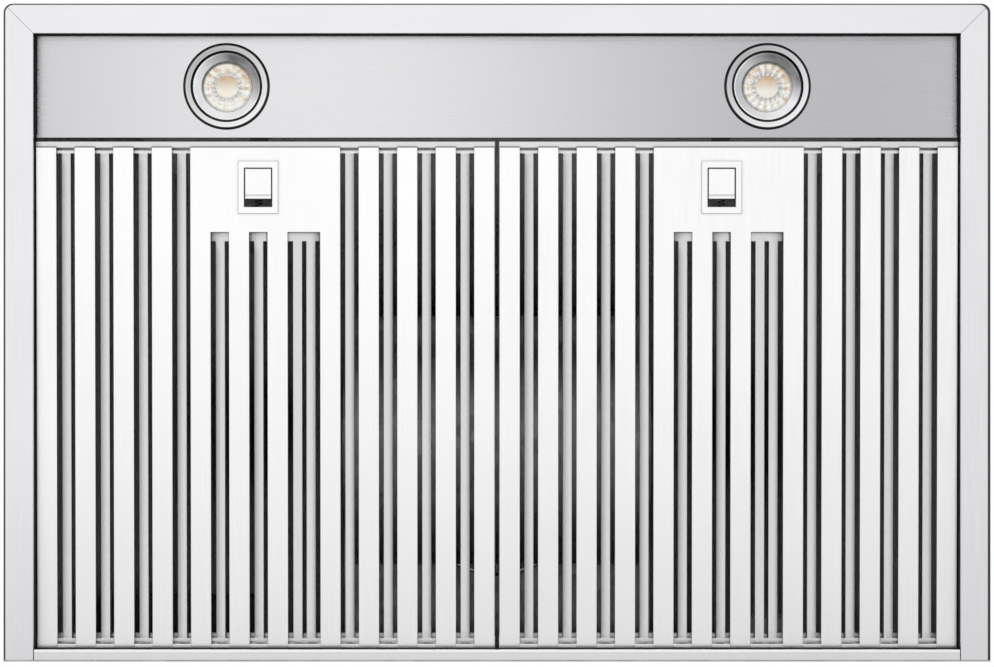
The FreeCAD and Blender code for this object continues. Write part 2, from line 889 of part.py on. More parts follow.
def make_frame_sides():
    """The two side rails of a filter frame, mitred to meet its front and rear rails."""
    body = new_member("frame_sides")
    front = -filter_length
    rear = frame_rear
    section = [
        (0, frame_low),
        (frame_flange, frame_low),
        (frame_flange, frame_low + gauge),
        (gauge, frame_low + gauge),
        (gauge, frame_high - gauge),
        (frame_flange, frame_high - gauge),
        (frame_flange, frame_high),
        (0, frame_high),
    ]
    right_section = [(filter_width - x, z) for x, z in reversed(section)]
    length = rear - front
    prism(body, "XZ", front, length, [section])
    prism(body, "XZ", front, length, [right_section])
    reach = frame_flange + over
    for end, inward in ((front, 1), (rear, -1)):
        cut = [
            (-over, end - inward * over),
            (reach, end + inward * reach),
            (reach, end - inward * over),
        ]
        if inward < 0:
            cut = list(reversed(cut))
        right = [(filter_width - x, y) for x, y in reversed(cut)]
        prism(body, "XY", frame_low - over, filter_height + 2 * over, [cut], cut=True)
        prism(body, "XY", frame_low - over, filter_height + 2 * over, [right], cut=True)
    filter_place(body)
    return body


def make_filter_frame():
    return grouped([make_frame_ends(), make_frame_sides()], "left_filter_frame")


def in_comb(index):
    return comb_first <= index <= wide_after + 1


def add_strips(body, indices):
    """Flat strips with their edges folded up, flat at both ends where they lie on the frame."""
    front = -filter_length + strip_front_gap
    rear = -strip_rear_gap
    top = frame_low + strip_leg
    for index in indices:
        left = strip_start(index)
        right = left + strip_width
        section = [(left, strip_low), (right, strip_low)]
        if index < filter_count - 1:
            section += [(right, top), (right - strip_gauge, top), (right - strip_gauge, frame_low)]
        else:
            section += [(right, frame_low)]
        if index > 0:
            section += [(left + strip_gauge, frame_low), (left + strip_gauge, top), (left, top)]
        else:
            section += [(left, frame_low)]
        prism(body, "XZ", front, rear - front, [section])
    cap = channel_end_cap + leg_clearance
    for low, high in ((-filter_length, channel_front + cap), (channel_rear - cap, rear + over)):
        legs = box_loop(low, high, frame_low, top + over)
        prism(body, "YZ", -over, filter_width + 2 * over, [legs], cut=True)


def make_front_baffles():
    body = new_body("left_front_baffles")
    add_strips(body, [index for index in range(filter_count) if not in_comb(index)])
    filter_place(body)
    return body


def make_latch_plate():
    """The comb-shaped sheet: a plate that holds the latch, with four strips running back from it."""
    body = new_body("left_latch_plate")
    add_strips(body, [index for index in range(filter_count) if in_comb(index)])
    front = -filter_length + strip_front_gap
    comb_left = strip_start(comb_first)
    comb_right = strip_start(wide_after + 1) + strip_width
    comb_legs = box_loop(
        comb_left - strip_edge,
        comb_right + strip_edge,
        front - over,
        -filter_length + plate_end + channel_cap + leg_clearance,
    )
    prism(body, "XY", frame_low, strip_leg + over, [comb_legs], cut=True)
    plate = box_loop(comb_left, comb_right, front, -filter_length + plate_end)
    prism(body, "XY", strip_low, strip_gauge, [plate])
    centre = latch_centre_y()
    across = latch_open_width / 2 + latch_ledge + latch_wall + latch_fit
    along = latch_open_length / 2 + latch_ledge + latch_wall + latch_fit
    hole = box_loop(latch_x - across, latch_x + across, centre - along, centre + along)
    prism(body, "XY", strip_low - over, strip_gauge + 2 * over, [hole], cut=True)
    filter_place(body)
    return body


def channel_section(centre):
    """One U-shaped rear channel, its flat facing down behind a slot and its legs up."""
    wide = channel_flat / 2
    inner = wide - strip_gauge
    low = frame_low + channel_set_back
    return [
        (centre - wide, low),
        (centre + wide, low),
        (centre + wide, channel_top),
        (centre + inner, channel_top),
        (centre + inner, low + strip_gauge),
        (centre - inner, low + strip_gauge),
        (centre - inner, channel_top),
        (centre - wide, channel_top),
    ]


def make_rear_baffles():
    """Channels behind the slots, each closed at both ends by a flat cap as wide as its slot."""
    body = new_body("left_rear_baffles")
    short_front = -filter_length + plate_end
    low = frame_low + channel_set_back
    for index in range(filter_count - 1):
        slot_left = strip_start(index) + strip_width
        wide = slot_width + wide_slot_extra if index == wide_after else slot_width
        middle = slot_left + wide / 2
        short = comb_first <= index <= wide_after
        begin = short_front if short else channel_front
        front_cap = channel_cap if short else channel_end_cap
        spread = (channel_flat + wide_slot_slit) / 2
        centres = [middle - spread, middle + spread] if index == wide_after else [middle]
        for centre in centres:
            prism(body, "XZ", begin, channel_rear - begin, [channel_section(centre)])
        reach = wide / 2 + channel_lap
        rear_cap = channel_rear - channel_end_cap
        for start, end in ((begin, begin + front_cap), (rear_cap, channel_rear)):
            cap = box_loop(middle - reach, middle + reach, start, end)
            prism(body, "XY", low, strip_gauge, [cap])
    filter_place(body)
    return body


# Latch


def latch_centre_y():
    return -filter_length + latch_set_back


def make_latch_housing():
    body = new_body("left_latch_housing")
    centre = latch_centre_y()
    open_x = latch_open_width / 2
    open_y = latch_open_length / 2
    flange = box_loop(
        latch_x - latch_width / 2,
        latch_x + latch_width / 2,
        centre - latch_length / 2,
        centre + latch_length / 2,
    )
    mouth = box_loop(latch_x - open_x, latch_x + open_x, centre - open_y, centre + open_y)
    prism(body, "XY", strip_low - latch_wall, latch_wall, [flange, mouth])
    in_x = open_x + latch_ledge
    in_y = open_y + latch_ledge
    out_x = in_x + latch_wall
    out_y = in_y + latch_wall
    outside = box_loop(latch_x - out_x, latch_x + out_x, centre - out_y, centre + out_y)
    inside = box_loop(latch_x - in_x, latch_x + in_x, centre - in_y, centre + in_y)
    prism(body, "XY", strip_low, latch_wall_height, [outside, inside])
    filter_place(body)
    return body


def make_latch_slide():
    body = new_body("left_latch_slide")
    centre = latch_centre_y()
    well_front = centre - latch_open_length / 2 - latch_ledge
    tongue_front = centre - latch_open_length / 2 + tongue_fit
    tongue_rear = tongue_front + tongue_length
    tongue_x = latch_open_width / 2 - tongue_fit
    wing_x = latch_open_width / 2 + latch_ledge - latch_fit
    wing_low = strip_low + ledge_gap
    wing_front = well_front + latch_fit
    wing_rear = tongue_rear + latch_ledge / 2
    tongue = box_loop(latch_x - tongue_x, latch_x + tongue_x, tongue_front, tongue_rear)
    prism(body, "XY", strip_low - latch_wall + ledge_gap, latch_wall, [tongue])
    wings = box_loop(latch_x - wing_x, latch_x + wing_x, wing_front, wing_rear)
    prism(body, "XY", wing_low, gauge, [wings])
    web = box_loop(latch_x - bolt_width / 2, latch_x + bolt_width / 2, wing_front, wing_front + bolt_web)
    prism(body, "XY", wing_low, bolt_low + bolt_thickness - wing_low, [web])
    tip = -filter_length - bolt_reach
    bolt = box_loop(latch_x - bolt_width / 2, latch_x + bolt_width / 2, tip, wing_front + bolt_web)
    prism(body, "XY", bolt_low, bolt_thickness, [bolt])
    filter_place(body)
    return body


def make_latch_spring():
    """A coil spring from the latch slide's web back to the housing's rear wall."""
    body = new_body("left_latch_spring")
    centre = latch_centre_y()
    well_front = centre - latch_open_length / 2 - latch_ledge
    well_rear = centre + latch_open_length / 2 + latch_ledge
    start = well_front + latch_fit + bolt_web + spring_wire + spring_gap
    length = well_rear - spring_wire - spring_gap - start
    sketch = new_sketch(body, "XY", 0)
    draw_circle(sketch, spring_radius, 0, spring_wire)
    coil = body.newObject("PartDesign::AdditiveHelix", "Helix")
    coil.Profile = sketch
    coil.ReferenceAxis = (sketch, ["V_Axis"])
    coil.Mode = 0
    bind(coil, "Pitch", spring_pitch)
    bind(coil, "Height", length)
    level = strip_low + ledge_gap + gauge + spring_radius + 2 * spring_wire
    x = -filter_width - filter_seam / 2 + latch_x
    y = -hinge_y + start * cosine(filter_tilt) - level * sine(filter_tilt)
    z = rear_ledge + start * sine(filter_tilt) + level * cosine(filter_tilt)
    place(body, x, y, z, filter_tilt)
    return body


def make_filters():
    shift = filter_width + filter_seam
    makers = [
        make_filter_frame,
        make_front_baffles,
        make_latch_plate,
        make_rear_baffles,
        make_latch_housing,
        make_latch_slide,
        make_latch_spring,
    ]
    for maker in makers:
        left = maker()
        shifted(left, left.Label.replace("left_", "right_"), shift)


# Blower


def scroll_points(offset):
    """Corners of the scroll casing, from the rear of the outlet round to its front."""
    big = scroll_radius + offset
    middle = scroll_radius - scroll_step + offset
    small = scroll_radius - 2 * scroll_step + offset
    tongue_y = fan_axis_y - scroll_half - offset
    tongue_z = fan_axis_z - scroll_half + root(small * small - offset * offset)
    return [
        (fan_axis_y + scroll_half + big, slope_top),
        (fan_axis_y + scroll_half + big, fan_axis_z + scroll_half),
        (fan_axis_y + scroll_half, fan_axis_z + scroll_half - big),
        (fan_axis_y + scroll_half - middle, fan_axis_z - scroll_half),
        (tongue_y, tongue_z),
        (tongue_y, slope_top),
    ]


def scroll_arcs(offset, turn):
    radii = [scroll_radius - step * scroll_step + offset for step in range(3)]
    return [(radius, turn) for radius in radii]


def make_blower_wrapper():
    body = new_body("blower_wrapper")
    inside = scroll_points(as_dim(0))
    outside = scroll_points(gauge)
    inner_arcs = scroll_arcs(as_dim(0), -1)
    outer_arcs = scroll_arcs(gauge, 1)
    bends = {1: inner_arcs[0], 2: inner_arcs[1], 3: inner_arcs[2]}
    bends.update({7: outer_arcs[2], 8: outer_arcs[1], 9: outer_arcs[0]})
    section = inside + list(reversed(outside))
    prism(body, "YZ", -blower_half, blower_width, [section], arcs=bends)


def make_left_blower_side():
    body = new_body("left_blower_side")
    arcs = scroll_arcs(gauge, -1)
    bends = {1: arcs[0], 2: arcs[1], 3: arcs[2]}
    prism(body, "YZ", -blower_half - gauge, gauge, [scroll_points(gauge)], arcs=bends)
    inlet = [(fan_axis_y, fan_axis_z, inlet_radius)]
    prism(body, "YZ", -blower_half - gauge - over, gauge + 2 * over, circles=inlet, cut=True)
    return body


def make_inlet_rings():
    body = new_member("left_ring")
    face = -blower_half - gauge
    outer = inlet_throat + gauge
    section = [
        (face - gauge, inlet_throat),
        (face - gauge, inlet_flange_radius),
        (face, inlet_flange_radius),
        (face, outer),
        (face + inlet_depth, outer),
        (face + inlet_depth, inlet_throat),
    ]
    lathe(body, "XY", "H_Axis", section)
    place(body, 0, fan_axis_y, fan_axis_z)
    grouped([body, mirror_of(body, "right_ring")], "inlet_rings")


def motor_screw_places():
    reach = motor_screw_circle * math.sqrt(0.5)
    return [(across * reach, along * reach) for across in (-1, 1) for along in (-1, 1)]


def make_motor_plate():
    body = new_body("motor_plate")
    arcs = scroll_arcs(-motor_fit, -1)
    bends = {1: arcs[0], 2: arcs[1], 3: arcs[2]}
    low = -(motor_plate_gauge / 2)
    prism(body, "YZ", low, motor_plate_gauge, [scroll_points(-motor_fit)], arcs=bends)
    holes = [(fan_axis_y, fan_axis_z, motor_radius + motor_fit)]
    for y, z in motor_screw_places():
        holes.append((fan_axis_y + y, fan_axis_z + z, screw_hole))
    prism(body, "YZ", low - over, motor_plate_gauge + 2 * over, circles=holes, cut=True)


def make_motor():
    body = new_body("motor")
    end = motor_length / 2
    face = motor_plate_gauge / 2
    bore = shaft_radius + shaft_fit
    section = [
        (-end, bore),
        (-end, motor_radius - motor_shoulder),
        (-end + motor_shoulder, motor_radius),
        (face, motor_radius),
        (face, motor_flange_radius),
        (face + motor_flange_thickness, motor_flange_radius),
        (face + motor_flange_thickness, motor_radius),
        (end - motor_shoulder, motor_radius),
        (end, motor_radius - motor_shoulder),
        (end, bore),
    ]
    lathe(body, "XY", "H_Axis", section)
    holes = [(y, z, screw_hole) for y, z in motor_screw_places()]
    prism(body, "YZ", face - over, motor_flange_thickness + 2 * over, circles=holes, cut=True)
    place(body, 0, fan_axis_y, fan_axis_z)


def make_motor_screws():
    body = new_member("motor_screws")
    face = motor_plate_gauge / 2 + motor_flange_thickness
    shanks = [(y, z, screw_radius) for y, z in motor_screw_places()]
    heads = [(y, z, screw_head_radius) for y, z in motor_screw_places()]
    prism(body, "YZ", face - screw_length, screw_length, circles=shanks)
    prism(body, "YZ", face, screw_head_height, circles=heads)
    place(body, 0, fan_axis_y, fan_axis_z)
    return body


def make_fan_shaft():
    shaft = doc.addObject("Part::Cylinder", "fan_shaft")
    reach = blower_half - wheel_end_gap / 2
    bind(shaft, "Radius", shaft_radius)
    bind(shaft, "Height", 2 * reach)
    along_x = FreeCAD.Rotation(FreeCAD.Vector(0, 1, 0), 90)
    base = FreeCAD.Vector(-reach.value, fan_axis_y.value, fan_axis_z.value)
    shaft.Placement = FreeCAD.Placement(base, along_x)
    shaft.setExpression("Placement.Base.x", (-reach).text)
    shaft.setExpression("Placement.Base.y", fan_axis_y.text)
    shaft.setExpression("Placement.Base.z", fan_axis_z.text)
    keep(shaft, "fan_shaft")


def make_left_fan_wheel():
    body = new_body("left_fan_wheel")
    near = -(motor_length / 2) - wheel_gap
    far = -blower_half + wheel_end_gap
    section = [
        (near - wheel_hub_length, shaft_radius),
        (near - wheel_hub_length, wheel_hub_radius),
        (near - wheel_disc, wheel_hub_radius),
        (near - wheel_disc, wheel_radius),
        (near, wheel_radius),
        (near, shaft_radius),
    ]
    lathe(body, "XY", "H_Axis", section)
    outer = wheel_radius - blade_tip_gap
    inner = wheel_radius - blade_depth
    blade = [
        (inner, -(blade_gauge / 2)),
        (outer, blade_lean - blade_gauge / 2),
        (outer, blade_lean + blade_gauge / 2),
        (inner, blade_gauge / 2),
    ]
    begin = far + wheel_ring_width / 2
    first = prism(body, "YZ", begin, near - wheel_disc / 2 - begin, [blade])
    blades = body.newObject("PartDesign::PolarPattern", "Blades")
    blades.Originals = [first]
    blades.Axis = (first.Profile[0], ["N_Axis"])
    blades.Angle = 360
    blades.Occurrences = blade_count
    body.Tip = blades
    ring = [
        (far, wheel_radius - wheel_ring_depth),
        (far, wheel_radius),
        (far + wheel_ring_width, wheel_radius),
        (far + wheel_ring_width, wheel_radius - wheel_ring_depth),
    ]
    lathe(body, "XY", "H_Axis", ring)
    place(body, 0, fan_axis_y, fan_axis_z)
    return body


# Outlet


def make_outlet_collar():
    body = new_body("outlet_collar")
    section = [
        (collar_bore, 0),
        (collar_flange_radius, 0),
        (collar_flange_radius, collar_wall),
        (collar_radius, collar_wall),
        (collar_radius, collar_height),
        (collar_bore, collar_height),
    ]
    lathe(body, "XZ", "V_Axis", section)
    holes = [(x, y, screw_hole) for x, y in collar_screw_places()]
    prism(body, "XY", -over, collar_wall + 2 * over, circles=holes, cut=True)
    rod_hole = [(0, damper_height, damper_rod_radius + damper_fit)]
    span = 2 * (collar_radius + over)
    prism(body, "YZ", -(span / 2), span, circles=rod_hole, cut=True)
    peg_hole = [(0, peg_level, damper_rod_radius + damper_fit)]
    prism(body, "XZ", -(span / 2), span, circles=peg_hole, cut=True)
    place(body, 0, collar_y, canopy_height)


def make_collar_screws():
    body = new_member("collar_screws")
    shanks = [(x, y, screw_radius) for x, y in collar_screw_places()]
    heads = [(x, y, screw_head_radius) for x, y in collar_screw_places()]
    prism(body, "XY", -gauge, gauge + collar_wall, circles=shanks)
    prism(body, "XY", collar_wall, screw_head_height, circles=heads)
    place(body, 0, collar_y, canopy_height)
    return body


def damper_pin(name, turn_axis, angle, x, y, z, length):
    pin = doc.addObject("Part::Cylinder", name)
    bind(pin, "Radius", damper_rod_radius)
    bind(pin, "Height", length)
    x, y, z = as_dim(x), as_dim(y), as_dim(z)
    base = FreeCAD.Vector(x.value, y.value, z.value)
    pin.Placement = FreeCAD.Placement(base, FreeCAD.Rotation(turn_axis, angle))
    for axis, position in (("x", x), ("y", y), ("z", z)):
        pin.setExpression(f"Placement.Base.{axis}", position.text)
    return pin


def make_damper_pins():
    """The flaps' hinge rod across the collar, and the peg that each flap rests on."""
    reach = collar_radius - damper_rod_inset
    level = canopy_height + damper_height
    peg_z = canopy_height + peg_level
    along_x = FreeCAD.Vector(0, 1, 0)
    along_y = FreeCAD.Vector(1, 0, 0)
    rod = damper_pin("rod", along_x, 90, -reach, collar_y, level, 2 * reach)
    front_peg = damper_pin("front_peg", along_y, -90, 0, collar_y - reach, peg_z, peg_length)
    rear_peg = damper_pin("rear_peg", along_y, -90, 0, collar_y + reach - peg_length, peg_z, peg_length)
    grouped([rod, front_peg, rear_peg], "damper_pins")


def make_damper_flap(label, side):
    """Half-disc flap on the front (-1) or rear (+1) of the damper rod, with two hinge knuckles."""
    body = new_body(label)
    radius = collar_bore - damper_gap
    chord = damper_barrel + damper_barrel_gap
    end = root(radius * radius - chord * chord)
    half_disc = [(side * -end, side * chord), (side * end, side * chord)]
    prism(body, "XY", -(damper_gauge / 2), damper_gauge, [half_disc], arcs={0: (radius, -1)})
    pitch = damper_knuckle + 2 * damper_knuckle_gap
    starts = [-2 * pitch, as_dim(0)] if side < 0 else [-pitch, pitch]
    for start in starts:
        low = start + damper_knuckle_gap
        prism(body, "YZ", low, damper_knuckle, circles=[(0, 0, damper_barrel)])
        tab = [
            (low, 0),
            (low + damper_knuckle, 0),
            (low + damper_knuckle, side * (chord + damper_gauge)),
            (low, side * (chord + damper_gauge)),
        ]
        prism(body, "XY", -(damper_gauge / 2), damper_gauge, [tab])
    bore = [(0, 0, damper_rod_radius + damper_fit)]
    prism(body, "YZ", -collar_radius, 2 * collar_radius, circles=bore, cut=True)
    place(body, 0, collar_y, canopy_height + damper_height)


def make_cord_gland():
    body = new_body("cord_gland")
    nut_low = -gauge - gland_nut
    thread_low = nut_low - gland_tail
    section = [
        (gland_bore, thread_low),
        (gland_thread, thread_low),
        (gland_thread, nut_low),
        (gland_head, nut_low),
        (gland_head, -gauge),
        (gland_thread, -gauge),
        (gland_thread, 0),
        (gland_head, 0),
        (gland_head, gland_head_height),
        (gland_nose, gland_nose_height),
        (gland_bore, gland_nose_height),
    ]
    lathe(body, "XZ", "V_Axis", section)
    place(body, gland_x, gland_y, canopy_height)


# Controls

button_names = [
    "fan_off_button",
    "fan_low_button",
    "fan_medium_button",
    "fan_high_button",
    "light_button",
]


def button_x(index):
    return (index - (len(button_names) - 1) / 2) * button_pitch


def make_control_bezel():
    body = new_body("control_bezel")
    wide = bezel_width / 2
    tall = bezel_height / 2
    face = box_loop(-wide, wide, bezel_centre_z - tall, bezel_centre_z + tall)
    prism(body, "XZ", -hood_depth, bezel_depth, [face])
    flange = box_loop(
        -wide - bezel_flange,
        wide + bezel_flange,
        bezel_centre_z - tall - bezel_flange,
        bezel_centre_z + tall + bezel_flange,
    )
    prism(body, "XZ", -hood_depth + gauge, bezel_flange_gauge, [flange])
    posts = []
    for across in (-1, 1):
        for along in (-1, 1):
            post_x = across * (wide - post_inset)
            post_z = bezel_centre_z + along * (tall - post_inset)
            posts.append((post_x, post_z, post_radius))
    prism(body, "XZ", -hood_depth + bezel_depth, board_stand_off, circles=posts)
    holes = [(button_x(i), bezel_centre_z, button_radius + button_fit) for i in range(len(button_names))]
    prism(body, "XZ", -hood_depth - over, bezel_depth + 2 * over, circles=holes, cut=True)


def make_switch_board():
    body = new_body("switch_board")
    wide = bezel_width / 2
    tall = bezel_height / 2
    board = box_loop(-wide, wide, bezel_centre_z - tall, bezel_centre_z + tall)
    face = -hood_depth + bezel_depth + board_stand_off
    prism(body, "XZ", face, switch_board_gauge, [board])
    switches = [(button_x(i), bezel_centre_z, switch_radius) for i in range(len(button_names))]
    begin = -hood_depth + button_length + button_travel + switch_gap
    prism(body, "XZ", begin, face - begin, circles=switches)


def make_button(index):
    body = new_body(button_names[index])
    centre = (button_x(index), bezel_centre_z)
    prism(body, "XZ", -hood_depth, button_length, circles=[(*centre, button_radius)])
    flange_low = -hood_depth + bezel_depth + button_flange_gap
    wide = button_radius + button_flange
    prism(body, "XZ", flange_low, button_flange_gauge, circles=[(*centre, wide)])


# Electrical pieces on the back panel


def make_power_box():
    body = new_body("power_box")
    outside = box_loop(box_left, box_left + box_width, box_low, box_low + box_height)
    inside = box_loop(
        box_left + box_wall,
        box_left + box_width - box_wall,
        box_low + box_wall,
        box_low + box_height - box_wall,
    )
    prism(body, "XZ", -gauge - box_wall, box_wall, [outside])
    prism(body, "XZ", -gauge - box_depth, box_depth - box_wall, [outside, inside])


def make_power_box_cover():
    body = new_body("power_box_cover")
    outside = box_loop(box_left, box_left + box_width, box_low, box_low + box_height)
    prism(body, "XZ", -gauge - box_depth - gauge, gauge, [outside])


def make_capacitor():
    block = doc.addObject("Part::Box", "motor_capacitor")
    bind(block, "Length", capacitor_width)
    bind(block, "Width", capacitor_depth)
    bind(block, "Height", capacitor_height)
    place(block, capacitor_left, -gauge - capacitor_depth, capacitor_low)
    keep(block, "motor_capacitor")


# Chimney


def make_lower_chimney():
    body = new_body("lower_chimney")
    inner = chimney_half - gauge
    outline = [
        (-chimney_half, 0),
        (-chimney_half, -chimney_depth),
        (chimney_half, -chimney_depth),
        (chimney_half, 0),
        (chimney_half - chimney_flange, 0),
        (chimney_half - chimney_flange, -gauge),
        (inner, -gauge),
        (inner, -chimney_depth + gauge),
        (-inner, -chimney_depth + gauge),
        (-inner, -gauge),
        (-chimney_half + chimney_flange, -gauge),
        (-chimney_half + chimney_flange, 0),
    ]
    prism(body, "XY", canopy_height, chimney_length, [outline])


def make_upper_chimney():
    body = new_body("upper_chimney")
    inset = gauge + chimney_fit
    outer = chimney_half - inset
    inner = outer - gauge
    front = -chimney_depth + inset
    outline = [
        (-outer, -inset),
        (-outer, front),
        (outer, front),
        (outer, -inset),
        (inner, -inset),
        (inner, front + gauge),
        (-inner, front + gauge),
        (-inner, -inset),
    ]
    prism(body, "XY", canopy_height, chimney_length + chimney_show, [outline])


def make_chimney_bracket():
    body = new_body("chimney_bracket")
    outer = chimney_half - gauge - chimney_fit - gauge
    inner = outer - bracket_gauge
    outline = [
        (-outer, 0),
        (-outer, -bracket_ear),
        (-inner, -bracket_ear),
        (-inner, -bracket_gauge),
        (inner, -bracket_gauge),
        (inner, -bracket_ear),
        (outer, -bracket_ear),
        (outer, 0),
    ]
    low = canopy_height + chimney_length + chimney_show - bracket_drop - bracket_height
    prism(body, "XY", low, bracket_height, [outline])
    level = low + bracket_height / 2
    holes = [(side * bracket_hole_spacing / 2, level, bracket_hole_radius) for side in (-1, 1)]
    prism(body, "XZ", -bracket_gauge - over, bracket_gauge + 2 * over, circles=holes, cut=True)


make_front_fascia()
mirrored(make_left_fascia(), "right_fascia")
make_front_slope()
mirrored(make_left_slope(), "right_slope_panel")
make_back_panel()
make_top_plate()
make_rear_rail()
make_light_panel()
for name, side in (("left", -1), ("right", 1)):
    make_lamp_trim(f"{name}_lamp_trim", side)
    make_lamp_housing(f"{name}_lamp_housing", side)
    make_lamp_lens(f"{name}_lamp_lens", side)
make_lamp_inner_groups()
make_filters()
make_blower_wrapper()
mirrored(make_left_blower_side(), "right_blower_side")
make_inlet_rings()
make_motor_plate()
make_motor()
make_fan_shaft()
mirrored(make_left_fan_wheel(), "right_fan_wheel")
make_outlet_collar()
grouped([make_motor_screws(), make_collar_screws()], "blower_screws")
make_damper_pins()
make_damper_flap("front_damper_flap", -1)
make_damper_flap("rear_damper_flap", 1)
make_cord_gland()
make_control_bezel()
make_switch_board()
for number in range(len(button_names)):
    make_button(number)
make_power_box()
make_power_box_cover()
make_capacitor()
make_lower_chimney()
make_upper_chimney()
make_chimney_bracket()

doc.recompute()

for item in doc.Objects:
    if "Invalid" in item.State or "Error" in item.State:
        raise RuntimeError(f"{item.Name} ({item.Label}) did not compute: {item.State}")

os.makedirs("parts", exist_ok=True)
for piece in nodes:
    shape = piece.Shape
    if shape.isNull() or not shape.isValid():
        raise RuntimeError(f"{piece.Label} has no sound shape")
    shape.exportStep(f"parts/{piece.Label}.step")
print(len(nodes), "nodes")
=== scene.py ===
import json
import math

import bmesh
import bpy
from mathutils import Matrix, Vector


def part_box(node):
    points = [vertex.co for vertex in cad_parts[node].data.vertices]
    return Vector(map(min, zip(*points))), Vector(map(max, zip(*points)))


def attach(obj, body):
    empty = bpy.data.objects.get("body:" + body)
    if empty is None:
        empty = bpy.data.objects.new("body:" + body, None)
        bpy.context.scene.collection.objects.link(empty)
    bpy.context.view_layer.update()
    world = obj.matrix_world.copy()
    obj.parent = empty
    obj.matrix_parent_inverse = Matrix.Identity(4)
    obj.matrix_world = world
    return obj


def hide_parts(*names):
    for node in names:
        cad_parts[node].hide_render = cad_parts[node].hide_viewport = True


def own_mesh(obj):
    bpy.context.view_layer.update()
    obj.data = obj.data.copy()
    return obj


# Wall mount range hood seen from straight below. The wall plane is Y = 0, the front is at -Y and +Z is up.
# Lengths are in metres.

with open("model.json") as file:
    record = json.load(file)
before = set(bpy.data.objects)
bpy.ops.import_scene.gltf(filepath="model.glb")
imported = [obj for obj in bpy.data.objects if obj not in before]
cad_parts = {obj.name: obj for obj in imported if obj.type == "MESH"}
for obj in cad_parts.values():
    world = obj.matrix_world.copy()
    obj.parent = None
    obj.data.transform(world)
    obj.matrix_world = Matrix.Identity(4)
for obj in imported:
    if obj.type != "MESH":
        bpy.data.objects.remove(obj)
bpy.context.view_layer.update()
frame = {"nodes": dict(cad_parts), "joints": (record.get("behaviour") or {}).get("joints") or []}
nodes = frame["nodes"]
scene = bpy.context.scene
MM = 0.001

# Brushing: how closely the scratches lie along each axis, where a low number draws them out
GRAIN_X = (14, 900, 900)
GRAIN_Y = (900, 14, 900)

# How far the black strips beside the light panel, which stand in for shade on the rim's lips, stand out from
# the lips
SHADE_STRIP = 0.7 * MM


# Material helpers


